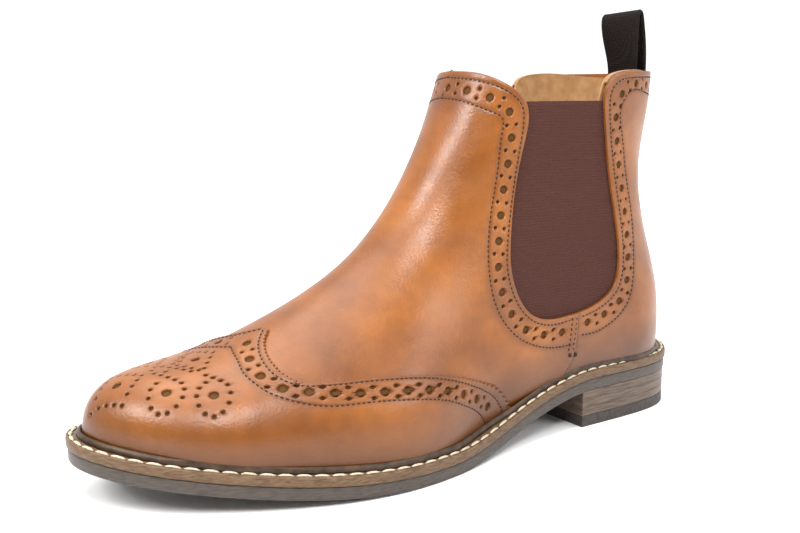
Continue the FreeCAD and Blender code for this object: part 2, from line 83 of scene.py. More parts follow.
# Outline of the sole: y, then the lateral and the medial edge from the heel's centre line.
SOLE_OUTLINE = [
    (151.0, 0.0, 0.0),
    (146.0, 13.0, 13.6),
    (133.0, 25.3, 26.0),
    (113.0, 31.0, 33.0),
    (88.0, 33.0, 35.0),
    (60.0, 34.7, 34.6),
    (30.0, 39.5, 34.2),
    (0.0, 48.6, 35.4),
    (-30.0, 54.9, 39.8),
    (-60.0, 54.0, 46.9),
    (-91.0, 45.8, 48.4),
    (-115.0, 36.0, 42.8),
    (-134.0, 24.8, 32.6),
    (-146.0, 12.0, 20.4),
    (-151.0, -3.4, 3.4),
]
FEATHER_HALF_WIDTH = [(-146, 29.4), (-126, 35.2), (-110, 38.2), (-92, 40.4), (-74, 41.4),
                      (-51, 41.8), (-31, 41.3), (-12, 38.4), (13, 33.2), (32, 30.6),
                      (53, 29.4), (75, 29.3), (110, 29.8), (145, 29.8)]
SWING = [(-146, -4.5), (-126, -4.2), (-110, -2.8), (-92, -0.4), (-74, 3.0), (-51, 7.0),
         (-31, 8.4), (-12, 7.2), (13, 3.2), (32, 3.0), (53, 2.2), (75, 1.2), (110, 0.0),
         (145, 0.0)]
RIDGE = [(-143.4, 0), (-141.7, 11.2), (-135.2, 19.8), (-123.1, 26.2), (-100.6, 34.2),
         (-79.1, 45.5), (-52.1, 61), (-27.3, 78), (-7.9, 99), (3.4, 116), (12.2, 132),
         (19.7, 150)]
BACK = [(0, 140.2), (20, 139.5), (40, 137.0), (65, 127.9), (95, 124.8), (120, 127.9),
        (150, 128.2)]
SHAFT_HALF_WIDTH = [(0, 31.0), (40, 33.0), (70, 33.1), (100, 31.7), (130, 34.9), (160, 35.2)]
FOOT_TOP = 22.0
SHAFT_BOTTOM = 78.0
SWING_TOP = 100.0
TOE_ROUNDING = 52.0
TOE_FULLNESS = 2.1
RIDGE_FULLNESS = 2.3
BACK_FULLNESS = 2.15
BULGE = 2.5
BULGE_TOP = 60.0
BULGE_RUN = 30.0
BACK_RUN = 34.0
BACK_RUN_GROWTH = 8.0
COLLAR_HEIGHT = 140.0
RIDGE_CURVING = 0.15
SPAN_U = 270.0           # size of the flat pattern: once round the upper is twice this
SPAN_V = 245.0           # and from the feather line to the top of the ridge

# Edges and rows in side view: y, z, from the collar's front round to the side seam.
VAMP_EDGE = [(14.0, 163.4), (22.0, 162.3), (29.0, 158.6), (35.0, 153.9), (38.8, 148.6),
             (39.8, 143.0), (38.6, 134.0), (35.9, 121.5), (30.8, 96.0), (29.5, 80.0),
             (33.0, 67.5), (41.0, 57.4), (50.0, 54.2), (60.0, 54.1), (68.6, 55.0)]
SEAM_EDGE = [(68.6, 55.0), (67.3, 44.0), (66.0, 36.0), (62.0, 27.0), (58.0, 16.0)]
REAR_EDGE = [(140.0, 163.6), (105.0, 163.4), (92.0, 162.6), (84.2, 160.3), (80.6, 155.5),
             (80.4, 148.5), (82.6, 138.0), (86.0, 120.0), (90.4, 95.0), (94.0, 76.0),
             (92.0, 65.6), (84.0, 59.2), (76.0, 56.4), (68.6, 55.0)]
FRONT_OUTER_ROW = [(12.0, 152.8), (17.0, 150.0), (24.0, 145.8), (28.6, 142.6), (28.4, 137.0),
                   (26.3, 122.0), (21.0, 99.0), (18.3, 82.0), (19.6, 68.0), (25.0, 55.8),
                   (33.5, 47.6), (43.0, 43.2), (54.0, 40.9), (64.5, 41.0)]
FRONT_INNER_ROW = [(17.0, 160.4), (25.0, 157.4), (32.6, 152.8), (36.8, 147.4), (37.4, 142.0),
                   (36.0, 130.0), (33.4, 115.0), (29.2, 95.0), (27.4, 80.0), (30.4, 67.8),
                   (38.6, 56.4), (48.0, 52.0), (57.0, 51.4), (66.0, 52.6)]
REAR_OUTER_ROW = [(70.6, 44.4), (79.0, 44.7), (88.0, 47.4), (96.4, 52.4), (101.0, 58.0),
                  (103.6, 68.0), (102.9, 84.0), (100.8, 100.0), (97.6, 117.0), (93.4, 134.0),
                  (90.6, 148.0), (94.0, 153.2), (110.0, 153.7), (140.0, 153.9)]
REAR_INNER_ROW = [(70.6, 52.9), (78.0, 54.4), (86.4, 57.6), (94.4, 64.4), (96.6, 76.0),
                  (93.4, 94.0), (88.9, 120.0), (85.2, 138.0), (83.2, 149.0), (84.0, 155.2),
                  (88.0, 158.6), (98.0, 160.4), (120.0, 161.0), (140.0, 161.2)]
# Rows and edge of the wing on the lateral side: x, y, z, from the peak back to the welt.
WING_ROW = [(5.4, -76.5, 61.0), (9.6, -80.4, 58.0), (16.4, -83.2, 54.0), (22.7, -83.4, 50.6),
            (27.7, -81.7, 47.9), (33.1, -76.5, 45.1), (37.3, -65.8, 43.9), (40.7, -47.7, 43.5),
            (42.6, -20.5, 40.9), (40.1, -3.6, 35.7), (37.3, 6.3, 31.2), (34.5, 16.7, 24.5),
            (33.0, 22.0, 17.5)]
WING_LOWER_ROW = [(3.6, -89.6, 55.2), (8.6, -90.6, 53.6), (13.0, -91.0, 52.2),
                  (20.2, -91.8, 49.0), (25.6, -90.2, 46.4), (30.7, -87.2, 43.7),
                  (35.2, -81.9, 41.1), (41.0, -68.4, 37.3), (44.5, -50.2, 36.6),
                  (46.0, -37.1, 35.7), (45.7, -22.7, 33.5), (44.2, -14.3, 31.2),
                  (41.6, -4.7, 26.9), (37.0, 6.7, 19.8), (34.5, 12.0, 13.5)]


# ---------------------------------------------------------------- curves
def natural_spline(points):
    """Smooth function through (x, y) points, with no bending at its ends."""
    xs, ys = np.array(points, float).T
    n = len(xs)
    gap = np.diff(xs)
    slope = np.diff(ys) / gap
    system = np.eye(n)
    right = np.zeros(n)
    for i in range(1, n - 1):
        system[i, i - 1:i + 2] = gap[i - 1], 2 * (gap[i - 1] + gap[i]), gap[i]
        right[i] = 6 * (slope[i] - slope[i - 1])
    bend = np.linalg.solve(system, right)

    def value(x):
        x = np.asarray(x, float)
        i = np.clip(np.searchsorted(xs, x) - 1, 0, n - 2)
        t = x - xs[i]
        first = slope[i] - gap[i] * (2 * bend[i] + bend[i + 1]) / 6
        return ys[i] + t * (first + t * (bend[i] / 2 + t * (bend[i + 1] - bend[i]) / (6 * gap[i])))

    return value


def smooth(t):
    """0 up to t = 0 and 1 from t = 1 on, with a soft change between them."""
    t = np.clip(t, 0.0, 1.0)
    return t * t * (3 - 2 * t)


def lengths(points):
    """Distance along a line of points, from its start."""
    return np.concatenate([[0.0], np.cumsum(np.linalg.norm(np.diff(points, axis=0), axis=1))])


def at_places(line, along, places):
    """Points of a line at some distances along it."""
    return np.stack([np.interp(places, along, column) for column in line.T], axis=-1)


def even(points, step):
    """The same line with points about one step apart."""
    points = np.asarray(points, float)
    along = lengths(points)
    return at_places(points, along, np.linspace(0, along[-1], max(int(round(along[-1] / step)), 1) + 1))


def curve_through(points, step=0.8):
    """Smooth line through points in the plane or in space."""
    points = np.asarray(points, float)
    along = lengths(points)
    places = np.linspace(0, along[-1], int(along[-1] / 0.4) + 2)
    dense = [natural_spline(list(zip(along, column)))(places) for column in points.T]
    return even(np.stack(dense, axis=1), step)


def normals_2d(points):
    """Unit normals to the right of a line's direction."""
    direction = np.gradient(points, axis=0)
    direction /= np.linalg.norm(direction, axis=1)[:, None] + 1e-12
    return np.stack([direction[:, 1], -direction[:, 0]], axis=1)


def sole_bottom(y):
    """Height of the outsole's underside, above the floor."""
    y = np.asarray(y, float)
    arch = HEEL_HEIGHT * smooth((y - ARCH_Y) / (HEEL_SEAT_Y - ARCH_Y))
    t = np.maximum(BALL_Y - y, 0) / (BALL_Y + SOLE_LENGTH / 2)
    return arch + TOE_SPRING * ((1 + TOE_FLATTENING) * t ** 2 - TOE_FLATTENING * t ** 3)


def feather_z(y):
    """Height of the upper's lower edge."""
    return sole_bottom(y) + WELT_TOP + FEATHER_GAP


# ---------------------------------------------------------------- skin of the upper
feather_half_width = natural_spline(FEATHER_HALF_WIDTH)
swing = natural_spline(SWING)
back_y = natural_spline(BACK)
shaft_half_width = natural_spline(SHAFT_HALF_WIDTH)


def ridge_table(steps=1500):
    """y and height of the front ridge at even distances along it, neither ever falling."""
    along = lengths(np.array(RIDGE, float))
    mirrored = [(-along[1], RIDGE[1][0])], [(-along[1], -RIDGE[1][1])]
    places = np.linspace(0, along[-1], steps + 1)
    columns = []
    for i in (0, 1):
        column = natural_spline(mirrored[i] + [(s, p[i]) for s, p in zip(along, RIDGE)])(places)
        columns.append(np.maximum.accumulate(column) + np.arange(steps + 1) * 1e-7)
    return columns


RIDGE_Y, RIDGE_Z = ridge_table()
RIDGE_SHARE = np.linspace(0, 1, len(RIDGE_Y))
TOP_SLOPE = (RIDGE_Z[-1] - RIDGE_Z[-20]) / (RIDGE_Y[-1] - RIDGE_Y[-20])


def rounded(share, fullness):
    """1 in the middle and 0 at the end of a rounded outline; fuller than an ellipse above 2."""
    return np.sqrt(1 - np.clip(share, 0, 1) ** fullness)


def half_width(y, height):
    """Half the upper's width at y, at a height above the feather line."""
    turn = smooth((height - FOOT_TOP) / (SHAFT_BOTTOM - FOOT_TOP))
    into_toe = np.clip((y - RIDGE_Y[0]) / TOE_ROUNDING, 0, 1)
    foot = feather_half_width(y) * rounded(1 - into_toe, TOE_FULLNESS)
    width = foot * (1 - turn) + shaft_half_width(height) * turn
    rise = np.clip(height / BULGE_TOP, 0, 1)
    swell = rise * (1 - rise) ** 2 * 27 / 4          # 1 where it is greatest
    width = width + BULGE * swell * (1 - turn) * smooth((y - RIDGE_Y[0]) / BULGE_RUN)
    past = np.maximum(y - RIDGE_Y[-1], 0)
    ridge = np.interp(y, RIDGE_Y, RIDGE_Z) + past * (TOP_SLOPE + past * RIDGE_CURVING / 2)
    run = BACK_RUN + BACK_RUN_GROWTH * smooth(height / COLLAR_HEIGHT)
    front = rounded(height / np.maximum(ridge, 1e-6), RIDGE_FULLNESS)
    return width * front * rounded((y - back_y(height) + run) / run, BACK_FULLNESS)


def skin_base(u, v):
    """Point on the outside of the upper.

    u is 0 on the front ridge and 1 or -1 on the back seam, positive on the lateral
    side; v runs from 0 on the feather line to 1 at the top of the ridge.
    """
    u = (np.asarray(u, float) + 1) % 2 - 1
    v = np.clip(v, 0, 1)
    height = np.interp(v, RIDGE_SHARE, RIDGE_Z)
    front = np.interp(v, RIDGE_SHARE, RIDGE_Y)
    y = front + (back_y(height) - front) * (1 - np.cos(math.pi * np.abs(u))) / 2
    side = np.where(u < 0, -1.0, 1.0)
    x = HEEL_X + swing(y) * (1 - smooth(height / SWING_TOP)) + side * half_width(y, height)
    return np.stack([x, y, height + feather_z(y)], axis=-1)


def slopes(u, v, step=0.004):
    """How the skin runs along u and along v."""
    v = np.asarray(v, float)
    low, high = np.clip(v - step, 0, 1), np.clip(v + step, 0, 1)
    along_u = (skin_base(u + step, v) - skin_base(u - step, v)) / (2 * step)
    along_v = (skin_base(u, high) - skin_base(u, low)) / (high - low)[..., None]
    return along_u, along_v


def skin(flat, out=0.0):
    """Flat pattern points laid on the skin, some way outside it."""
    u, v = flat[..., 0] / SPAN_U, flat[..., 1] / SPAN_V
    along_u, along_v = slopes(u, v)
    outward = np.cross(along_u, along_v)
    outward /= np.linalg.norm(outward, axis=-1)[..., None] + 1e-12
    return skin_base(u, v) + outward * np.asarray(out)[..., None]


def flat_from_side(points, side):
    """Side-view (y, z) points to the flat pattern."""
    y, z = np.asarray(points, float).T
    height = np.clip(z - feather_z(y), 0, RIDGE_Z[-1])
    share = np.interp(height, RIDGE_Z, RIDGE_SHARE)
    front = np.interp(share, RIDGE_SHARE, RIDGE_Y)
    part = np.clip((y - front) / (back_y(height) - front), 0, 1)
    return np.stack([side * np.arccos(1 - 2 * part) / math.pi * SPAN_U, share * SPAN_V], axis=1)


def skin_finder(across=360, up=200):
    """Function that gives the flat pattern point nearest to a point in space.

    Only the first used coordinates of the point count: two for a point seen from above.
    """
    u, v = np.meshgrid(np.linspace(-1, 1, across), np.linspace(0, 1, up))
    u, v = u.ravel(), v.ravel()
    points = skin_base(u, v)
    tree = KDTree(len(points))
    for i, point in enumerate(points):
        tree.insert(point, i)
    tree.balance()

    def find(targets, used=3):
        flat = []
        for target in np.asarray(targets, float):
            i = tree.find(target)[1]
            a, b = u[i], v[i]
            for _ in range(6):
                run = np.stack(slopes(a, b), axis=1)[:used]
                step = np.linalg.lstsq(run, (target - skin_base(a, b))[:used], rcond=None)[0]
                step = np.clip(step, -0.02, 0.02)
                a, b = a + step[0], np.clip(b + step[1], 0, 1)
            flat.append((a * SPAN_U, b * SPAN_V))
        return np.array(flat)

    return find


find_on_skin = skin_finder()


# ---------------------------------------------------------------- meshes
def make_object(name, points, faces, material, angle=50, attributes=None):
    """Object from points in millimetres; attributes maps a name to a value per vertex."""
    mesh = bpy.data.meshes.new(name)
    mesh.from_pydata((np.asarray(points) * MM).tolist(), [], [list(map(int, f)) for f in faces])
    mesh.validate()
    mesh.shade_smooth()
    mesh.set_sharp_from_angle(angle=math.radians(angle))
    for key, values in (attributes or {}).items():
        layer = mesh.attributes.new(key, "FLOAT", "POINT")
        layer.data.foreach_set("value", np.asarray(values, np.float32))
    mesh.materials.append(material)
    piece = bpy.data.objects.new(name, mesh)
    bpy.context.scene.collection.objects.link(piece)
    return piece


def finish_piece(piece, nodes=(), body="root"):
    """Puts a piece on its body, in place of some nodes."""
    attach(piece, body)
    if nodes:
        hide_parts(*nodes)
    return piece


def tube_faces(rings, size, closed=False, start=0):
    """Quads between rings of equal size, one after the other."""
    faces = []
    for i in range(rings if closed else rings - 1):
        a, b = start + i * size, start + (i + 1) % rings * size
        faces += [(a + j, a + (j + 1) % size, b + (j + 1) % size, b + j) for j in range(size)]
    return faces


def capped_tube(rings, size, start=0):
    """Tube between rings of equal size, closed at both ends."""
    last = start + (rings - 1) * size
    caps = [tuple(range(start + size - 1, start - 1, -1)), tuple(range(last, last + size))]
    return tube_faces(rings, size, start=start) + caps


def closed_sheet(name, front, back, faces, rim, material, angle, attributes=None):
    """Sheet with a front, a back and a wall along its rim; faces are those of the front."""
    size = len(front)
    faces = faces + [tuple(i + size for i in reversed(face)) for face in faces]
    for a, b in zip(rim, rim[1:] + rim[:1]):
        faces.append((b, a, a + size, b + size))
    return make_object(name, np.concatenate([front, back]), faces, material, angle, attributes)


def inside(points, loop):
    """Which points lie inside a closed loop."""
    x, y = points[:, 0], points[:, 1]
    result = np.zeros(len(points), bool)
    for (x0, y0), (x1, y1) in zip(loop, np.roll(loop, -1, axis=0)):
        if y0 != y1:
            crosses = ((y0 > y) != (y1 > y)) & (x < (x1 - x0) * (y - y0) / (y1 - y0) + x0)
            result ^= crosses
    return result


def tree_of(points):
    """Search tree of points in the flat pattern."""
    tree = KDTree(max(len(points), 1))
    for i, (x, y) in enumerate(points):
        tree.insert((x, y, 0), i)
    tree.balance()
    return tree


def distance_to(tree, points):
    """Distance from each point to the nearest one in a tree."""
    return np.array([tree.find((x, y, 0))[2] for x, y in points])


# Rings of a punched hole: distance out from its edge, and depth.
HOLE_STEPS = ((0.75, 0.0), (0.3, -0.06), (0.05, -0.28), (-0.12, -0.75), (-0.2, -1.12))


def hole_rings(centre, radius):
    """Flat pattern points and depths of one punched hole, round once it is on the skin."""
    along_u, along_v = slopes(centre[0] / SPAN_U, centre[1] / SPAN_V)
    run = np.stack([along_u / SPAN_U, along_v / SPAN_V], axis=1)
    first = run[:, 0] / np.linalg.norm(run[:, 0])
    second = run[:, 1] - run[:, 1].dot(first) * first
    second /= np.linalg.norm(second)
    back = np.linalg.inv(np.array([[first.dot(run[:, 0]), first.dot(run[:, 1])],
                                   [second.dot(run[:, 0]), second.dot(run[:, 1])]]))
    count = 20 if radius == BIG_HOLE else 12
    angles = np.arange(count) * 2 * math.pi / count
    circle = np.stack([np.cos(angles), np.sin(angles)], axis=1)
    points, depths = [centre[None]], [np.array([HOLE_STEPS[-1][1]])]
    for grow, depth in HOLE_STEPS:
        points.append(centre + (circle * (radius + grow)) @ back.T)
        depths.append(np.full(count, depth))
    return np.concatenate(points), np.concatenate(depths), points[1]


# Furrow beside a stitched row: distance from it, and depth.
ROW_STEPS = ((0.0, -0.22), (0.45, -0.1), (0.95, 0.0))
# Rounding of a panel's rim: way in from it and depth, both in shares of the rounding.
RIM_STEPS = ((0.4, -0.35), (1.2, 0.0))
BIG_HOLE = 1.75          # radius
SMALL_HOLE = 0.8
BIG_HOLE_GAP = 3.0       # leather left between two big holes
HOLE_GAP = 0.4           # and between any others
# How far the leather is darker: up from the feather line (burnish and painted shade), round holes, rows and
# rims, and down into the holes (painted shade).
BURNISH_AND_SHADE_HEIGHT = 26.0
PUNCH_WEAR = 2.2
ROW_WEAR = 1.8
RIM_WEAR = 1.6
PIT_DEPTH = 1.1


def row_groups(rows):
    """Points beside stitched rows, with the depth to which the thread pulls the leather."""
    groups = []
    for row in rows:
        line = even(row, 0.8)
        across = normals_2d(line)
        for offset, depth in ROW_STEPS:
            for sign in (1, -1) if offset else (1,):
                groups.append((line + across * offset * sign, depth))
    return groups


def clear_of_holes(points, holes, rings, margin):
    """Which points lie outside the punched holes and keep a margin from their rings."""
    if not rings or not len(points):
        return np.ones(len(points), bool)
    free = distance_to(tree_of(np.concatenate(rings)), points) > margin
    for centre, radius in holes:
        free &= np.linalg.norm(points - centre, axis=1) >= radius
    for ring in rings:
        near = np.nonzero(((points > ring.min(axis=0)) & (points < ring.max(axis=0))).all(axis=1))[0]
        free[near[inside(points[near], ring)]] = False
    return free


def triangular_grid(loop, spacing):
    """Points in a triangular pattern over the box round a loop."""
    (x0, y0), (x1, y1) = loop.min(axis=0), loop.max(axis=0)
    x, y = np.meshgrid(np.arange(x0, x1, spacing), np.arange(y0, y1, spacing * 0.87))
    x = x + (np.arange(len(x)) % 2)[:, None] * spacing / 2
    return np.stack([x.ravel(), y.ravel()], axis=1)


def even_loop(loop, step=1.1):
    """The loop anticlockwise, with its points about a step apart."""
    loop = loop[np.linalg.norm(loop - np.roll(loop, 1, axis=0), axis=1) > 0.05]
    loop = even(np.vstack([loop, loop[:1]]), step)[:-1]
    area = np.sum(loop[:, 0] * np.roll(loop[:, 1], -1) - np.roll(loop[:, 0], -1) * loop[:, 1])
    return loop if area >= 0 else loop[::-1]


def wear_and_painted_shade(flat, depth, boundary, row_tree, holes, edge):
    """How much each point is darkened by punching, by sewing or its rim, low down as burnish and painted
    shade, and in the hole floors as painted shade.
    """
    punch, seam = np.zeros(len(flat)), np.zeros(len(flat))
    if holes:
        centres = tree_of([centre for centre, _ in holes])
        for i, (x, y) in enumerate(flat):
            _, nearest, gap = centres.find((x, y, 0))
            punch[i] = max(0.0, 1 - max(gap - holes[nearest][1], 0) / PUNCH_WEAR)
    if row_tree:
        seam = np.clip(1 - distance_to(row_tree, flat) / ROW_WEAR, 0, 1)
    return {
        "punch": punch,
        # Painted shade: the floors and walls of the punched holes, darker the deeper they go.
        "pit": np.clip(-depth / PIT_DEPTH, 0, 1) * (depth < -edge - 0.01),
        "seam": np.maximum(seam, np.clip(1 - distance_to(boundary, flat) / RIM_WEAR, 0, 1)),
        # Burnish and painted shade: the leather gets darker low down, towards the feather line.
        "low": np.clip(1 - (flat[:, 1] - 1) / BURNISH_AND_SHADE_HEIGHT, 0, 1),
    }


def leather_panel(name, loop, material, out=0.0, thickness=LEATHER, holes=(), rows=(),
                  lift=None, spacing=1.7, edge=0.45):
    """Closed sheet of leather over a loop in the flat pattern, with punched holes and rows.

    holes are (centre, radius); rows are lines that the stitches pull into the leather;
    lift gives extra height at flat pattern points; edge is the rounding of the rim.
    """
    loop = even_loop(loop)
    boundary = tree_of(loop)
    drilled = [hole_rings(np.asarray(centre, float), radius) for centre, radius in holes]
    rings = [ring for _, _, ring in drilled]
    normal = normals_2d(np.vstack([loop[-1:], loop, loop[:1]]))[1:-1]
    sewn = row_groups(rows)
    row_tree = tree_of(np.concatenate([points for points, _ in sewn])) if sewn else None

    def kept(points, from_rim, from_holes=None):
        points = points[inside(points, loop)]
        points = points[distance_to(boundary, points) > from_rim]
        if from_holes is not None:
            points = points[clear_of_holes(points, holes, rings, from_holes)]
        return points

    groups = [(loop, -edge)]
    groups += [(kept(loop - normal * edge * inset, edge * 0.3), edge * depth) for inset, depth in RIM_STEPS]
    groups += [(kept(points, edge * 1.2 + 0.3, 0.25), depth) for points, depth in sewn]
    grid = kept(triangular_grid(loop, spacing), edge * 1.2 + 0.5, 0.5)
    if row_tree:
        grid = grid[distance_to(row_tree, grid) > 0.6]
    groups.append((grid, 0.0))
    flat = np.concatenate([points for points, _ in groups] + [points for points, _, _ in drilled])
    depth = np.concatenate([np.full(len(points), deep) for points, deep in groups]
                           + [depths for _, depths, _ in drilled])
    count = len(loop)
    edges = [(i, (i + 1) % count) for i in range(count)]
    found, _, faces, origin, _, _ = delaunay_2d_cdt([Vector(p) for p in flat], edges, [], 1, 1e-5, True)
    flat = np.array([(p.x, p.y) for p in found])
    faces = np.array([tuple(face) for face in faces])
    faces = faces[inside(flat[faces].mean(axis=1), loop)]
    depth = np.array([depth[sources[0]] if sources else 0.0 for sources in origin])
    front = skin(flat, out + depth + (lift(flat) if lift else 0.0))
    back = skin(flat, np.full(len(flat), out - thickness))
    place = {source: i for i, sources in enumerate(origin) for source in sources if source < count}
    marks = wear_and_painted_shade(flat, depth, boundary, row_tree, holes, edge)
    marks = {key: np.concatenate([values, values * 0]) for key, values in marks.items()}
    return closed_sheet(name, front, back, [tuple(face) for face in faces],
                        [place[i] for i in range(count)], material, 55, marks)


def thread_ring(centre, across, up, width, height, sides, twist=None):
    """Points round a thread; twist gives the turn of its plies."""
    ring = []
    for angle in np.arange(sides) * 2 * math.pi / sides:
        ply = 1.0 if twist is None else 1 + 0.1 * math.sin(2 * angle + twist)
        ring.append(centre + (across * math.cos(angle) * width + up * math.sin(angle) * height) * ply / 2)
    return ring


def stitch_mesh(name, all_rings, material):
    """Mesh of separate stitches, each given as its rings of points."""
    points, faces = [], []
    for rings in all_rings:
        faces += capped_tube(len(rings), len(rings[0]), len(points))
        points += [point for ring in rings for point in ring]
    return make_object(name, points, faces, material, 80)


STITCH_DIP = 0.3         # how far a stitch's ends go into the leather


def stitches(name, rows, material, out=0.0, pitch=2.1, share=0.72, width=0.62, height=0.5):
    """Lens-shaped stitches along lines in the flat pattern."""
    stations = ((-1.0, 0.35), (-0.62, 0.85), (0.0, 1.0), (0.62, 0.85), (1.0, 0.35))
    all_rings = []
    for row in rows:
        flat_line = even(row, 0.5)
        space = skin(flat_line, out)
        along = lengths(space)
        count = max(int(along[-1] / pitch), 1)
        for centre in (np.arange(count) + 0.5) * along[-1] / count:
            line = at_places(space, along, [centre + t * pitch * share / 2 for t, _ in stations])
            flat_centre = at_places(flat_line, along, centre)
            up = skin(flat_centre, 1.0) - skin(flat_centre, 0.0)
            direction = line[-1] - line[0]
            across = np.cross(direction / np.linalg.norm(direction), up)
            all_rings.append([
                thread_ring(point - up * STITCH_DIP * t * t, across, up, width * size, height * size, 6)
                for (t, size), point in zip(stations, line)])
    return stitch_mesh(name, all_rings, material)


# ---------------------------------------------------------------- materials
def tree_for(name):
    """New material with its nodes, links and shader."""
    material = bpy.data.materials.new(name)
    material.use_nodes = True
    nodes = material.node_tree.nodes
    return material, nodes, material.node_tree.links, nodes["Principled BSDF"]


def object_place(nodes, links, stretch=(1, 1, 1)):
    """Place on the piece in metres, for a texture."""
    mapping = nodes.new("ShaderNodeMapping")
    mapping.inputs["Scale"].default_value = stretch
    links.new(nodes.new("ShaderNodeTexCoord").outputs["Object"], mapping.inputs["Vector"])
    return mapping.outputs["Vector"]


def noise(nodes, links, scale, detail=3.0, stretch=(1, 1, 1)):
    """Noise texture in object space; scale is per metre."""
    texture = nodes.new("ShaderNodeTexNoise")
    texture.inputs["Scale"].default_value = scale
    texture.inputs["Detail"].default_value = detail
    texture.inputs["Roughness"].default_value = 0.5
    links.new(object_place(nodes, links, stretch), texture.inputs["Vector"])
    return texture.outputs["Fac"]


def ramp(nodes, links, source, stops):
    """Colour that changes with a value; stops are (value, colour)."""
    node = nodes.new("ShaderNodeValToRGB")
    elements = node.color_ramp.elements
    while len(elements) < len(stops):
        elements.new(0.5)
    for element, (place, colour) in zip(elements, stops):
        element.position = place
        element.color = (*colour, 1)
    links.new(source, node.inputs["Fac"])
    return node.outputs["Color"]


def mixed(nodes, links, factor, first, second, mode="MIX"):
    """Blend of two colours; each value is an output or a constant."""
    node = nodes.new("ShaderNodeMix")
    node.data_type = "RGBA"
    node.blend_type = mode
    for socket, value in ((node.inputs[0], factor), (node.inputs[6], first), (node.inputs[7], second)):
        if hasattr(value, "is_output"):
            links.new(value, socket)
        elif isinstance(value, (int, float)):
            socket.default_value = value
        else:
            socket.default_value = (*value, 1)
    return node.outputs[2]


def calculated(nodes, links, operation, *values):
    """Result of a sum; each value is an output or a constant."""
    node = nodes.new("ShaderNodeMath")
    node.operation = operation
    for socket, value in zip(node.inputs, values):
        if hasattr(value, "is_output"):
            links.new(value, socket)
        else:
            socket.default_value = value
    return node.outputs[0]


def bumped(nodes, links, shader, height, strength, distance):
    node = nodes.new("ShaderNodeBump")
    node.inputs["Strength"].default_value = strength
    node.inputs["Distance"].default_value = distance
    links.new(height, node.inputs["Height"])
    links.new(node.outputs["Normal"], shader.inputs["Normal"])


def attribute(nodes, name):
    node = nodes.new("ShaderNodeAttribute")
    node.attribute_name = name
    return node.outputs["Fac"]


def grain(nodes, links, scale):
    """Pebbled leather grain: cells with soft creases between them."""
    cells = nodes.new("ShaderNodeTexVoronoi")
    cells.feature = "SMOOTH_F1"
    cells.inputs["Scale"].default_value = scale
    links.new(object_place(nodes, links), cells.inputs["Vector"])
    return cells.outputs["Distance"]


def calf_leather(name, dark, middle, light, roughness=0.34, coat=0.14):
    """Polished leather, burnished where the panel's attributes say so; darker low down as burnish and
    painted shade, with painted shade in the hole floors.
    """
    material, nodes, links, shader = tree_for(name)
    cloud = noise(nodes, links, 28, 4, (1, 1, 1.2))
    colour = ramp(nodes, links, cloud, ((0.3, dark), (0.52, middle), (0.72, light)))
    mottled = ramp(nodes, links, noise(nodes, links, 240), ((0.3, (0.86,) * 3), (0.7, (1.06,) * 3)))
    colour = mixed(nodes, links, 0.6, colour, mottled, "MULTIPLY")
    burnish_and_shade = tuple(c * 0.42 for c in dark)
    # Darker low down near the feather line: partly burnish, partly painted shade.
    low = calculated(nodes, links, "MULTIPLY", attribute(nodes, "low"), 0.8)
    colour = mixed(nodes, links, low, colour, burnish_and_shade)
    punched = calculated(nodes, links, "MULTIPLY", attribute(nodes, "punch"), 0.3)
    sewn = calculated(nodes, links, "MULTIPLY", attribute(nodes, "seam"), 0.34)
    worked = calculated(nodes, links, "MAXIMUM", punched, sewn)
    colour = mixed(nodes, links, worked, colour, burnish_and_shade)
    # Painted shade: the floors of the punched holes are painted dark brown and lose their coat and
    # specular.
    pit = calculated(nodes, links, "MULTIPLY", attribute(nodes, "pit"), 0.93)
    colour = mixed(nodes, links, pit, colour, (0.085, 0.040, 0.016))
    links.new(colour, shader.inputs["Base Color"])
    shine = ramp(nodes, links, noise(nodes, links, 90),
                 ((0.3, (roughness - 0.05,) * 3), (0.7, (roughness + 0.08,) * 3)))
    links.new(shine, shader.inputs["Roughness"])
    open_skin = calculated(nodes, links, "SUBTRACT", 1.0, pit)
    links.new(calculated(nodes, links, "MULTIPLY", open_skin, coat), shader.inputs["Coat Weight"])
    links.new(calculated(nodes, links, "MULTIPLY", open_skin, 0.42), shader.inputs["Specular IOR Level"])
    shader.inputs["Coat Roughness"].default_value = 0.3
    fine = calculated(nodes, links, "ADD", grain(nodes, links, 1150), noise(nodes, links, 700, 2))
    bumped(nodes, links, shader, fine, 0.2, 0.00035)
    return material


def plain_leather(name, dark, light, scale=160, roughness=0.6, stretch=(1, 1, 1), bump=0.3):
    """Unpolished leather, board or rubber, mottled between two colours."""
    material, nodes, links, shader = tree_for(name)
    texture = noise(nodes, links, scale, 5, stretch)
    links.new(ramp(nodes, links, texture, ((0.32, dark), (0.68, light))), shader.inputs["Base Color"])
    shader.inputs["Roughness"].default_value = roughness
    shader.inputs["Specular IOR Level"].default_value = 0.3
    bumped(nodes, links, shader, texture, bump, 0.0006)
    return material


def woven(name, dark, light, thread=900, stretch=(1, 1, 1), roughness=0.8, sheen=0.3):
    """Thread or cloth: fine waves with fuzz over them."""
    material, nodes, links, shader = tree_for(name)
    wave = nodes.new("ShaderNodeTexWave")
    wave.bands_direction = "Y"
    wave.inputs["Scale"].default_value = thread
    wave.inputs["Distortion"].default_value = 1.5
    wave.inputs["Detail"].default_value = 2.0
    links.new(object_place(nodes, links, stretch), wave.inputs["Vector"])
    both = calculated(nodes, links, "ADD", wave.outputs["Fac"], noise(nodes, links, 1400))
    blend = calculated(nodes, links, "MULTIPLY", both, 0.5)
    links.new(ramp(nodes, links, blend, ((0.25, dark), (0.75, light))), shader.inputs["Base Color"])
    shader.inputs["Roughness"].default_value = roughness
    shader.inputs["Sheen Weight"].default_value = sheen
    shader.inputs["Specular IOR Level"].default_value = 0.15
    bumped(nodes, links, shader, blend, 0.4, 0.0003)
    return material


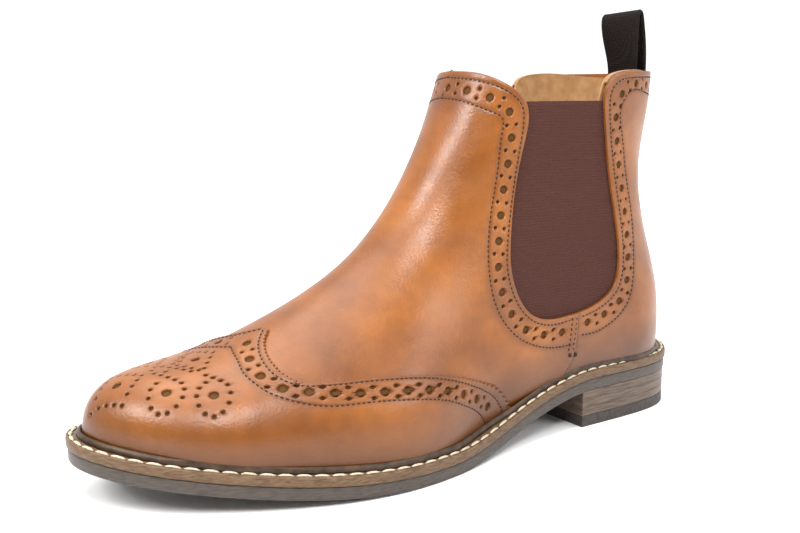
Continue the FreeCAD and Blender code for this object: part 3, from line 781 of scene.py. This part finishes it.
def metal(name, dark, light):
    """Brushed metal between two colours."""
    material, nodes, links, shader = tree_for(name)
    brushed = noise(nodes, links, 300, stretch=(1, 8, 1))
    links.new(ramp(nodes, links, brushed, ((0.3, dark), (0.7, light))), shader.inputs["Base Color"])
    shader.inputs["Metallic"].default_value = 1.0
    shader.inputs["Roughness"].default_value = 0.35
    return material


calf = calf_leather("burnished_calf", (0.135, 0.037, 0.003), (0.215, 0.064, 0.006), (0.285, 0.091, 0.009))
lining = plain_leather("lining_leather", (0.30, 0.15, 0.055), (0.42, 0.23, 0.095), 220, 0.55)
edge_leather = plain_leather("welt_leather", (0.070, 0.038, 0.018), (0.155, 0.092, 0.048), 300, 0.5,
                             (1, 1, 5), 0.5)
bead_leather = plain_leather("rand_leather", (0.022, 0.012, 0.007), (0.065, 0.036, 0.019), 260, 0.42)
sole_leather = plain_leather("outsole_leather", (0.042, 0.033, 0.027), (0.078, 0.062, 0.051), 260, 0.45,
                             (1, 1, 6), 0.4)
stack_leather = plain_leather("stacked_leather", (0.05, 0.032, 0.022), (0.155, 0.108, 0.078), 240, 0.42,
                              (0.4, 0.4, 9), 0.5)
heel_rubber = plain_leather("heel_rubber", (0.028, 0.022, 0.02), (0.055, 0.045, 0.04), 500, 0.55)
elastic = woven("gore_elastic", (0.034, 0.012, 0.009), (0.085, 0.033, 0.025), 700, (3, 3, 1), 0.85, 0.0)
webbing = woven("webbing", (0.003, 0.0016, 0.0012), (0.011, 0.0055, 0.004), 700, (1, 1, 1), 0.8, 0.0)
cream_thread = woven("welt_thread", (0.36, 0.29, 0.20), (0.70, 0.61, 0.47), 900, (1, 1, 1), 0.55, 0.0)
brown_thread = woven("seam_thread", (0.022, 0.008, 0.004), (0.07, 0.028, 0.013), 900, (1, 1, 1), 0.6, 0.0)
backing = woven("backing_cloth", (0.24, 0.12, 0.05), (0.36, 0.2, 0.09), 800)
board = plain_leather("insole_board", (0.38, 0.27, 0.17), (0.52, 0.40, 0.27), 400, 0.8)
cork = plain_leather("cork", (0.26, 0.15, 0.08), (0.46, 0.30, 0.17), 500, 0.9, (1, 1, 1), 0.8)
stiffener = plain_leather("stiffener", (0.42, 0.36, 0.28), (0.56, 0.50, 0.42), 300, 0.7)
steel = metal("steel", (0.40, 0.40, 0.416), (0.50, 0.50, 0.52))

SLOT_MATERIALS = {
    "upper_leather": calf, "gore_elastic": elastic, "stiffener": stiffener,
    "backing_cloth": backing, "lining_leather": lining, "heel_rubber": heel_rubber,
    "stacked_leather": stack_leather, "nail_steel": steel, "outsole_leather": sole_leather,
    "welt_leather": edge_leather, "cork": cork, "shank_steel": steel,
    "rand_leather": bead_leather, "insole_board": board, "welt_thread": cream_thread,
    "webbing": webbing, "seam_thread": brown_thread,
}
for part in frame["record"]["subparts"]:
    mesh = frame["nodes"][part["node"]].data
    mesh.materials.clear()
    mesh.materials.append(SLOT_MATERIALS[part["material_slot"]])


# ---------------------------------------------------------------- leather of the upper
BORDER_PITCH = 11.3      # between the big holes of a border
WING_PITCH = 10.2
PAIR_GAP = 2.1           # each small hole of a pair from the middle of the border
WING_OUT = GLUE + WING_LEATHER
WING_UNDERLAP = 5.0      # of the vamp under the wing
SEAM_STRIP_WIDTH = 6.5   # of the thicker strip at the side seam, each way
SEAM_STRIP_HEIGHT = 0.55
BACK_SEAM_GAP = 0.15


def side_line(points, side):
    """Curve in the flat pattern through side-view points."""
    return flat_from_side(curve_through(points), side)


def space_line(points):
    """Curve in the flat pattern through points in space."""
    return find_on_skin(curve_through(points, 1.2))


SIDES = ("lateral", "medial")
PATTERN_CENTRE = find_on_skin([(5.0, -76.0, 61.2), (-3.2, -132.0, 40.0)])


def mirrored(flat):
    """The medial side of a wing line: mirrored in the pattern's centre line."""
    flat = np.asarray(flat, float)
    (u0, v0), (u1, v1) = PATTERN_CENTRE
    centre = u0 + (flat[..., 1] - v0) / (v1 - v0) * (u1 - u0)
    centre = np.where(flat[..., 1] > v0, u0, centre)
    fade = np.clip(np.abs(flat[..., 0] - centre) / 90, 0, 1)
    return np.stack([2 * centre * (1 - fade) - flat[..., 0], flat[..., 1]], axis=-1)


def middle_line(a, b, step=0.5):
    """Line half-way between two rows."""
    count = int(lengths(a)[-1] / step)
    first, second = (at_places(row, along, np.linspace(0, along[-1], count))
                     for row, along in ((a, lengths(a)), (b, lengths(b))))
    return (first + second) / 2


def border_holes(line, first, pitch, last):
    """Big holes along the middle of a border with pairs of small ones between them.

    first and last are the distances from the line's ends to the first and last big hole.
    """
    along = lengths(skin(line))
    holes = []
    count = max(int(round((along[-1] - first - last) / pitch)), 1)
    real_pitch = (along[-1] - first - last) / count
    for number in range(count + 1):
        place = first + number * real_pitch
        holes.append((at_places(line, along, place), BIG_HOLE))
        if number == count:
            break
        place += real_pitch / 2
        before, centre, after = (at_places(line, along, place + step) for step in (-1, 0, 1))
        along_u, along_v = (np.ravel(part) for part in slopes(centre[0] / SPAN_U, centre[1] / SPAN_V))
        run = np.stack([along_u / SPAN_U, along_v / SPAN_V], axis=1)
        across = np.cross(skin(after) - skin(before), np.cross(run[:, 0], run[:, 1]))
        across /= np.linalg.norm(across)
        step = np.linalg.lstsq(run, across, rcond=None)[0]
        for sign in (1, -1):
            holes.append((centre + step * sign * PAIR_GAP, SMALL_HOLE))
    return holes


def spaced(holes):
    """The holes without those that would run into one before them."""
    kept, used = [], []
    for centre, radius in holes:
        point = skin(centre)
        if all(np.linalg.norm(point - other) - radius - size >
               (BIG_HOLE_GAP if radius == size == BIG_HOLE else HOLE_GAP) for other, size in used):
            kept.append((centre, radius))
            used.append((point, radius))
    return kept


def feather_line(u0, u1, step=1.2):
    """Along the lower edge of the upper, between two shares of a half turn."""
    count = max(int(abs(u1 - u0) * SPAN_U / step), 2)
    return np.stack([np.linspace(u0, u1, count) * SPAN_U, np.zeros(count)], axis=1)


def pinked(line, sign, pitch=3.6, height=1.6, margin=1.7):
    """Edge beside a line, cut into small teeth."""
    line = even(line, pitch / 2)
    normal = normals_2d(line) * sign
    reach = margin + height * (np.arange(len(line)) % 2)
    return even(line - normal * reach[:, None], 0.9)


def upper_lines():
    """Every edge and row of the upper in the flat pattern, by name and side."""
    from_side = {
        "vamp_edge": VAMP_EDGE, "seam": SEAM_EDGE, "rear_edge": REAR_EDGE,
        "front_outer": FRONT_OUTER_ROW, "front_inner": FRONT_INNER_ROW,
        "rear_outer": REAR_OUTER_ROW, "rear_inner": REAR_INNER_ROW,
    }
    lines = {(name, side): side_line(points, sign) for name, points in from_side.items()
             for side, sign in zip(SIDES, (1, -1))}
    for name, points in (("wing", WING_ROW), ("wing_lower", WING_LOWER_ROW)):
        lines[name, "lateral"] = space_line(points)
        lines[name, "medial"] = mirrored(lines[name, "lateral"])
    return lines


LINES = upper_lines()


def to_feather(line):
    """The line, cut or carried on so that it ends on the feather line."""
    line = line[line[:, 1] > 0.6]
    slope = (line[-1] - line[-4]) / max(abs(line[-1][1] - line[-4][1]), 1e-6)
    return np.vstack([line, line[-1] + slope * line[-1][1]])


def vamp():
    """Front of the boot up to the collar, with the border along the gores."""
    lateral, medial = SIDES
    under = {}
    for side in SIDES:
        wing = to_feather(LINES["wing", side])
        normal = normals_2d(wing) * (1 if side == lateral else -1)
        under[side] = wing + normal * WING_UNDERLAP
        under[side][:, 1] = np.maximum(under[side][:, 1], 0)
    seam = {side: to_feather(LINES["seam", side]) for side in SIDES}
    loop = np.vstack([
        LINES["vamp_edge", lateral], seam[lateral][1:],
        feather_line(seam[lateral][-1][0] / SPAN_U, under[lateral][-1][0] / SPAN_U)[1:-1],
        under[lateral][::-1], under[medial][1:],
        feather_line(under[medial][-1][0] / SPAN_U, seam[medial][-1][0] / SPAN_U)[1:-1],
        seam[medial][::-1], LINES["vamp_edge", medial][::-1][1:]])
    holes, rows = [], []
    for side in SIDES:
        outer, inner = LINES["front_outer", side], LINES["front_inner", side]
        rows += [outer, inner]
        holes += border_holes(middle_line(outer, inner), 3.0, BORDER_PITCH, 6.5)
    seam_tree = tree_of(np.concatenate([seam[s] for s in SIDES]))

    def lift(flat):
        return SEAM_STRIP_HEIGHT * (1 - smooth(distance_to(seam_tree, flat) / SEAM_STRIP_WIDTH))

    return leather_panel("vamp_leather", loop, calf, holes=spaced(holes), rows=rows, lift=lift)


def quarter(side):
    """Rear of the boot on one side, from the side seam to the back seam."""
    seam = to_feather(LINES["seam", side])
    sign = 1 if side == "lateral" else -1
    back_top = LINES["rear_edge", side][0]
    back = np.stack([np.full(60, sign * (SPAN_U - BACK_SEAM_GAP)), np.linspace(0, back_top[1], 60)], axis=1)
    loop = np.vstack([
        LINES["rear_edge", side], seam[1:],
        feather_line(seam[-1][0] / SPAN_U, back[0][0] / SPAN_U)[1:-1], back])
    outer, inner = LINES["rear_outer", side], LINES["rear_inner", side]
    holes = border_holes(middle_line(outer, inner), 4.0, BORDER_PITCH, 4.0)
    return leather_panel("quarter_" + side + "_leather", loop, calf, holes=holes, rows=[outer, inner])


finish_piece(vamp(), ["vamp"])
for side in SIDES:
    finish_piece(quarter(side), ["quarter_" + side])

MEDALLION_Y = -117.0     # the middle of the punched pattern on the toe
MEDALLION_TURN = math.radians(6.0)
MEDALLION_X = -1.8
DOT_PITCH = 3.3


def scroll(start, centre, radius, first, last):
    """Dots along a straight line that runs into an arc round a centre; angles in degrees."""
    angles = np.radians(np.linspace(first, last, 24))
    arc = np.array(centre) + radius * np.stack([np.cos(angles), np.sin(angles)], axis=1)
    return even(np.vstack([[start], arc]), DOT_PITCH)


def diamond(centre, half_across, half_along):
    """Dots along one half of a diamond."""
    corners = [(0, -half_along), (half_across, 0), (0, half_along)]
    return even(np.array(corners, float) + centre, DOT_PITCH)


def medallion_holes():
    """Punched pattern of the toe: across and along from its middle, and then mirrored."""
    front, rear = (0.0, -15.5), (0.0, 14.5)
    ring, outer_ring = (14.6, -0.5), (22.5, 15.0)
    lines = [
        diamond(front, 9.5, 9.3), diamond(rear, 10.0, 7.2),
        scroll((1.6, -2.0), ring, 6.5, 112, -190),
        scroll((-2.6, 2.2), outer_ring, 6.2, 118, -170),
    ]
    holes = [(front, BIG_HOLE), (rear, BIG_HOLE)]
    for mirror in (1, -1):
        holes += [((mirror * x, y), BIG_HOLE) for x, y in (ring, outer_ring)]
        holes += [((mirror * x, y), SMALL_HOLE) for line in lines for x, y in line]
    placed, used = [], []
    turn_cos, turn_sin = math.cos(MEDALLION_TURN), math.sin(MEDALLION_TURN)
    for (across, along), radius in holes:
        x = MEDALLION_X + across * turn_cos + along * turn_sin
        y = MEDALLION_Y - across * turn_sin + along * turn_cos
        flat = find_on_skin([(x, y, 50.0)], used=2)[0]
        point = skin(flat)
        if all(np.linalg.norm(point - other) > radius + size + 0.5 for other, size in used):
            placed.append((flat, radius))
            used.append((point, radius))
    return placed


def wing():
    """Wingtip toe cap with its pinked edge, punched border and medallion."""
    toothed = {}
    for side, sign in zip(SIDES, (1, -1)):
        edge_line = pinked(to_feather(LINES["wing", side]), sign)
        toothed[side] = to_feather(edge_line[edge_line[:, 1] > 1.5])
    lateral, medial = SIDES
    ends = [toothed[side][-1][0] / SPAN_U for side in SIDES]
    loop = np.vstack([toothed[lateral], feather_line(*ends)[1:-1], toothed[medial][::-1]])
    rows, holes = [], medallion_holes()
    for side in SIDES:
        upper, lower = LINES["wing", side], LINES["wing_lower", side]
        rows += [upper, lower]
        holes += border_holes(middle_line(upper, lower), 3.0, WING_PITCH, 9.0)
    return leather_panel("wing_leather", loop, calf, out=WING_OUT,
                         thickness=WING_LEATHER, holes=spaced(holes), rows=rows, edge=0.3)


finish_piece(wing(), ["wing_toe_cap"])

border_rows = [LINES[row, side] for row in ("front_outer", "front_inner", "rear_outer", "rear_inner")
               for side in SIDES]
finish_piece(stitches("border_stitches", border_rows, brown_thread))
wing_rows = [LINES[row, side] for row in ("wing", "wing_lower") for side in SIDES]
wing_rows = [row[row[:, 1] > 1.5] for row in wing_rows]
finish_piece(stitches("wing_stitches", wing_rows, brown_thread, out=WING_OUT))
seam_rows, bar_rows = [], []
for sign in (1, -1):
    for back_step in (1.4, 4.0):
        seam_rows.append(side_line([(68.6 - back_step, 53.6), (67.4 - back_step, 45.0),
                                    (66.2 - back_step, 37.6)], sign))
    for bar_z in (35.4, 36.3):
        bar_rows.append(side_line([(61.6, bar_z + 0.4), (64.8, bar_z), (68.6, bar_z - 0.2)], sign))
finish_piece(stitches("side_seam_stitches", seam_rows, brown_thread, out=0.5))
finish_piece(stitches("bartack_stitches", bar_rows, brown_thread, 0.6, 2.4, 0.95, 1.0, 0.9),
             ["side_seam_bartacks"])


# ---------------------------------------------------------------- elastic gores
RIB_PITCH = 1.3
RIB_HEIGHT = 0.2
GORE_OUT = -LEATHER - GLUE - 0.25
GORE_THICKNESS = 1.1
GORE_SPAN = ((25.0, 100.0), (47.0, 149.6))


def gore(side, sign):
    """Ribbed elastic panel; its edges are hidden under the leather."""
    (y0, y1), (z0, z1) = GORE_SPAN
    rows = int((z1 - z0) / RIB_PITCH) * 6 + 1
    columns = 36
    y, z = (part.ravel() for part in np.meshgrid(np.linspace(y0, y1, columns), np.linspace(z0, z1, rows)))
    flat = flat_from_side(np.stack([y, z], axis=1), sign)
    rib = RIB_HEIGHT * np.abs(np.sin(math.pi * (z - z0) / RIB_PITCH))
    selvage = 0.25 * smooth((z - z1 + 2.4) / 0.5)
    front = skin(flat, GORE_OUT + np.maximum(rib, selvage))
    rear = skin(flat, GORE_OUT - GORE_THICKNESS)
    corners = [i * columns + j for i in range(rows - 1) for j in range(columns - 1)]
    quads = [(a, a + 1, a + columns + 1, a + columns) for a in corners]
    size = rows * columns
    rim = list(range(columns)) + list(range(2 * columns - 1, size, columns))
    rim += list(range(size - 2, size - columns - 1, -1)) + list(range(size - 2 * columns, 0, -columns))
    if sign < 0:
        quads = [quad[::-1] for quad in quads]
        rim.reverse()
    return closed_sheet("gore_" + side + "_ribs", front, rear, quads, rim, elastic, 70)


for side, sign in zip(SIDES, (1, -1)):
    finish_piece(gore(side, sign), ["gore_" + side])


# ---------------------------------------------------------------- welt, sole and heel
def sole_outline(count=720):
    """The sole's edge, anticlockwise from the heel's back, and the way in from it."""
    half = SOLE_LENGTH / 2
    angle = np.arange(count) * 2 * math.pi / count
    from_heel = np.where(angle < math.pi, angle, 2 * math.pi - angle)
    reach = [natural_spline([(math.acos(row[0] / half), row[column]) for row in SOLE_OUTLINE])
             for column in (1, 2)]
    x = HEEL_X + np.where(angle < math.pi, -reach[1](from_heel), reach[0](from_heel))
    points = np.stack([x, half * np.cos(angle)], axis=1)
    return points, ways_in(points)


def ways_in(points):
    """Unit vectors that point into an anticlockwise outline."""
    run = np.roll(points, -1, axis=0) - np.roll(points, 1, axis=0)
    run /= np.linalg.norm(run, axis=1)[:, None]
    return np.stack([-run[:, 1], run[:, 0]], axis=1)


OUTLINE, INWARD = sole_outline()


def on_sole(points, height):
    """Points in space, a height above the sole's underside."""
    return np.column_stack([points, sole_bottom(points[:, 1]) + height])


def swept(name, outline, inward, profile, material, angle=40):
    """Ring of one section round an outline: profile holds (inset, height above the sole)."""
    columns = []
    for inset, height in profile:
        inset = inset if np.ndim(inset) else np.full(len(outline), float(inset))
        columns.append(on_sole(outline + inward * inset[:, None], height))
    points = np.stack(columns, axis=1).reshape(-1, 3)
    faces = tube_faces(len(outline), len(profile), closed=True)
    return make_object(name, points, faces, material, angle)


def across_solid(name, profile, material, y_low=-1e3, flat=False):
    """Solid under the whole width of the sole: profile holds (inset, height), low to high."""
    half = len(OUTLINE) // 2
    stations = [i for i in range(half + 1) if OUTLINE[i][1] >= y_low]
    rings = []
    for i in stations:
        sides = []
        for k in (-i % len(OUTLINE), i):
            points = np.array([OUTLINE[k] + INWARD[k] * inset for inset, _ in profile])
            heights = np.array([height for _, height in profile])
            under = sole_bottom(points[:, 1])
            z = np.minimum(heights, under - 0.03) if flat else under + heights
            sides.append(np.column_stack([points, z]))
        rings.append(np.vstack([sides[0], sides[1][::-1]]))
    if y_low > -SOLE_LENGTH:
        rings[-1][:, 1] = y_low
    piece = make_object(name, np.vstack(rings), capped_tube(len(rings), 2 * len(profile)), material, 35)
    tidy_mesh(piece)
    return piece


def tidy_mesh(piece):
    """Merges the points that meet at the heel's and the toe's tip."""
    mesh = bmesh.new()
    mesh.from_mesh(piece.data)
    bmesh.ops.remove_doubles(mesh, verts=mesh.verts, dist=2e-6)
    bmesh.ops.recalc_face_normals(mesh, faces=mesh.faces)
    mesh.to_mesh(piece.data)
    mesh.free()


STITCH_INSET = 1.85
welt_profile = [
    (12.9, OUTSOLE_THICKNESS + 0.02), (0.6, OUTSOLE_THICKNESS + 0.02), (0.15, OUTSOLE_THICKNESS + 0.35),
    (0.0, OUTSOLE_THICKNESS + 1.0), (0.0, WELT_TOP - 1.1), (0.12, WELT_TOP - 0.5),
    (0.4, WELT_TOP - 0.12), (STITCH_INSET - 1.0, WELT_TOP),
    (STITCH_INSET - 0.5, WELT_TOP - 0.25), (STITCH_INSET, WELT_TOP - 0.45),
    (STITCH_INSET + 0.5, WELT_TOP - 0.25), (STITCH_INSET + 1.0, WELT_TOP), (12.9, WELT_TOP)]
finish_piece(swept("welt_ring", OUTLINE, INWARD, welt_profile, edge_leather), ["welt"])

outsole_profile = [(1.3, 0.0), (0.85, 0.15), (0.62, 0.6), (0.6, 4.5), (0.75, 5.0), (1.1, 5.28)]
finish_piece(across_solid("outsole_slab", outsole_profile, sole_leather), ["outsole"])


def lift_profile(low, high, inset=1.0, round_off=0.22):
    """Section of a lift's edge with its corners taken off."""
    return [(inset + round_off, low), (inset, low + round_off), (inset, high - round_off),
            (inset + round_off, high)]


heights = [0.0, TOP_LIFT_THICKNESS]
for number in range(HEEL_LIFTS):
    heights.append(heights[-1] + (HEEL_HEIGHT - TOP_LIFT_THICKNESS) / HEEL_LIFTS)
for number, (low, high) in enumerate(zip(heights, heights[1:])):
    node = "heel_lift_%d" % number if number else "top_lift"
    material, slot = (stack_leather, "stacked_leather") if number else (heel_rubber, "heel_rubber")
    piece = across_solid(node + "_block", lift_profile(low + 0.01, high), material, BREAST_Y, True)
    finish_piece(piece, [node])

turns = np.linspace(1, -1, 721)[:-1]
feather = skin_base(-turns, np.zeros(len(turns)))[:, :2]
FEATHER_IN = ways_in(feather)
rand_gap = 0.3 + 1.4 * smooth((48 - feather[:, 1]) / 20)
room = distance_to(tree_of(OUTLINE), feather) - STITCH_INSET - 0.85
rand_share = np.clip((room - rand_gap) / 1.8, 0.4, 1.0)
rand_profile = [(-(rand_gap + reach * rand_share), WELT_TOP + rise) for reach, rise in (
    (-0.2, 0.01), (1.55, 0.01), (1.8, 0.5), (1.75, 1.3), (1.35, 2.2), (0.8, 2.7), (0.15, 2.6))]
finish_piece(swept("storm_bead", feather, FEATHER_IN, rand_profile, bead_leather),
             ["storm_rand"])


def welt_stitches(pitch=6.7, share=0.86, width=1.5, height=0.95):
    """Thick lens-shaped stitches lying in the welt's groove, each with a twist of thread."""
    path = OUTLINE + INWARD * STITCH_INSET
    path = np.vstack([path, path[:1]])
    along = lengths(path)
    count = round(along[-1] / pitch)
    stations = np.linspace(-1, 1, 9)
    up = np.array((0.0, 0.0, 1.0))
    all_rings = []
    for centre in (np.arange(count) + 0.5) * along[-1] / count:
        line = at_places(path, along, (centre + stations * pitch * share / 2) % along[-1])
        line = on_sole(line, WELT_TOP - 0.1 + 0.3 * (1 - stations ** 2))
        direction = line[-1] - line[0]
        across = np.cross(direction / np.linalg.norm(direction), up)
        sizes = np.maximum(np.sqrt(np.maximum(1 - stations ** 2, 0)), 0.3)
        all_rings.append([thread_ring(point, across, up, width * size, height * size, 8, 5 * t)
                          for t, size, point in zip(stations, sizes, line)])
    return stitch_mesh("welt_thread_stitches", all_rings, cream_thread)


finish_piece(welt_stitches(), ["welt_stitching"])


# ---------------------------------------------------------------- pull tab
WEBBING = 1.4
TAB_WIDTH = 19.4
TAB_TOP = 193.0
TAB_BOTTOM = 127.0
COLLAR_Z = 163.8
TAB_TWIST = math.radians(-25)
TAB_LEAN = (-1.6, -2.4)
TAB_ROLL = math.radians(9)
INNER_DEPTH = 4.2        # from the back of the leather to the webbing inside the shaft
TAB_CLEARANCE = 0.25


def pull_tab():
    """One strip of webbing: up the back seam, round a loop and down inside the shaft."""
    def back_at(z):
        return float(back_y(z - feather_z(back_y(z - 25.0))))

    hinge_y = back_at(COLLAR_Z) - INNER_DEPTH / 2
    sewn = (TAB_BOTTOM, 135, 144, 154, 163)
    outer = [(back_at(z) + TAB_CLEARANCE + WEBBING / 2, z) for z in sewn]
    inner = [(back_at(z) - INNER_DEPTH - TAB_CLEARANCE - WEBBING / 2, z) for z in sewn[::-1]]
    reach = INNER_DEPTH / 2 + TAB_CLEARANCE + WEBBING / 2 + 0.2
    top = TAB_TOP - WEBBING / 2
    rising = [(reach, 172), (reach + 0.3, 181), (reach, 188.0), (reach * 0.62, top - 1.0)]
    loop = [(hinge_y + step, z) for step, z in rising] + [(hinge_y, top)]
    loop += [(hinge_y - step, z) for step, z in rising[::-1]]
    path = curve_through(outer + loop + inner, 0.25)
    normal = normals_2d(path)
    across = np.linspace(-1, 1, 25)
    middle = np.array([HEEL_X, hinge_y])
    rings = []
    along = lengths(path)
    for (y, z), (ny, nz), place in zip(path, normal, along):
        rib = 0.09 * math.sin(2 * math.pi * place / 1.05)
        leaning = float(smooth((z - COLLAR_Z) / (TAB_TOP - COLLAR_Z)))
        turn, roll = TAB_TWIST * leaning, TAB_ROLL * leaning
        lean_x, lean_y = (part * leaning for part in TAB_LEAN)
        ring = []
        for sign, order in ((1, across), (-1, across[::-1])):
            for t in order:
                edge_bead = 0.12 * math.exp(-((abs(t) - 0.93) / 0.05) ** 2)
                half = (WEBBING / 2 + rib + edge_bead) * (1 - 0.75 * max(abs(t) - 0.97, 0) / 0.03)
                x = t * TAB_WIDTH / 2
                dy, dz = ny * half * sign, nz * half * sign
                offset_y = y + dy - middle[1]
                px = x * math.cos(turn) + offset_y * math.sin(turn)
                py = -x * math.sin(turn) + offset_y * math.cos(turn)
                ring.append((middle[0] + px + lean_x, middle[1] + py + lean_y,
                             z + dz + x * math.sin(roll) * 0.55))
        rings.append(ring)
    points = np.array(rings).reshape(-1, 3)
    piece = make_object("pull_tab_webbing", points, capped_tube(len(rings), 2 * len(across)), webbing, 60)
    tidy_mesh(piece)
    return piece


tab = pull_tab()
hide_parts("pull_tab_saddle", "pull_tab_loop")
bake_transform(tab)


# ---------------------------------------------------------------- stage, lights and camera
FLOOR_REACH = 40                        # the floor's size each way, in metres
DARK_SIDE = (0.83, -0.53, 0.0)          # the studio is darker on this side
CAMERA_PLACE = (354.24, -234.18, 147.57)
CAMERA_TURN = (80.744, 0.123, 57.526)   # degrees: up from straight down, roll, heading
BOOT_MIDDLE = (0, 0, 0.07)


def floor_paper():
    """White paper that glows away from the boot, so that its end doesn't show."""
    material, nodes, links, shader = tree_for("floor_paper")
    paper = ramp(nodes, links, noise(nodes, links, 6), ((0.3, (0.86,) * 3), (0.7, (0.90,) * 3)))
    links.new(paper, shader.inputs["Base Color"])
    shader.inputs["Roughness"].default_value = 0.8
    shader.inputs["Specular IOR Level"].default_value = 0.1
    shader.inputs["Emission Color"].default_value = (1, 1, 1, 1)
    away = nodes.new("ShaderNodeVectorMath")
    away.operation = "LENGTH"
    links.new(nodes.new("ShaderNodeTexCoord").outputs["Object"], away.inputs[0])
    share = calculated(nodes, links, "MULTIPLY", away.outputs["Value"], 0.4)
    glow = ramp(nodes, links, share, ((0.1, (0.0,) * 3), (0.35, (0.5,) * 3)))
    links.new(glow, shader.inputs["Emission Strength"])
    return material


def studio_world():
    """White surroundings with one dark side, for the leather to reflect."""
    world = bpy.data.worlds.new("studio")
    world.use_nodes = True
    nodes, links = world.node_tree.nodes, world.node_tree.links
    toward_dark = nodes.new("ShaderNodeVectorMath")
    toward_dark.operation = "DOT_PRODUCT"
    toward_dark.inputs[1].default_value = DARK_SIDE
    links.new(nodes.new("ShaderNodeTexCoord").outputs["Generated"], toward_dark.inputs[0])
    shade = ramp(nodes, links, toward_dark.outputs["Value"],
                 ((0.05, (1.0, 1.0, 1.0)), (0.6, (0.16, 0.155, 0.15))))
    links.new(shade, nodes["Background"].inputs["Color"])
    nodes["Background"].inputs["Strength"].default_value = 1.15
    return world


corners = [(x * FLOOR_REACH, y * FLOOR_REACH, 0) for x, y in ((-1, -1), (1, -1), (1, 1), (-1, 1))]
floor_mesh = bpy.data.meshes.new("floor")
floor_mesh.from_pydata(corners, [], [(0, 1, 2, 3)])
floor_mesh.materials.append(floor_paper())
floor = bpy.data.objects.new("floor", floor_mesh)
bpy.context.scene.collection.objects.link(floor)
bpy.context.scene.world = studio_world()
bpy.context.scene.view_settings.view_transform = "Standard"


def softbox(name, place, power, size, height):
    """Large area light that faces the boot."""
    data = bpy.data.lights.new(name, "AREA")
    data.shape = "RECTANGLE"
    data.size = size
    data.size_y = height
    data.energy = power
    lamp = bpy.data.objects.new(name, data)
    lamp.location = place
    aim = Vector(BOOT_MIDDLE) - Vector(place)
    lamp.rotation_euler = aim.to_track_quat("-Z", "Y").to_euler()
    bpy.context.scene.collection.objects.link(lamp)


softbox("key_left", (0.25, -1.25, 1.15), 25, 0.6, 0.6)
softbox("side_top", (0.85, -0.45, 1.15), 13, 0.45, 0.45)
softbox("fill_right", (1.2, 0.75, 0.75), 10, 0.8, 0.8)
softbox("overhead", (-0.2, 0.1, 1.6), 22, 1.4, 1.4)

camera_data = bpy.data.cameras.new("camera")
camera_data.lens = 44.19
camera_data.sensor_width = 36
camera = bpy.data.objects.new("camera", camera_data)
bpy.context.scene.collection.objects.link(camera)
camera.matrix_world = Matrix.LocRotScale(
    Vector(CAMERA_PLACE) * MM, Euler([math.radians(angle) for angle in CAMERA_TURN]), None)
bpy.context.scene.camera = camera
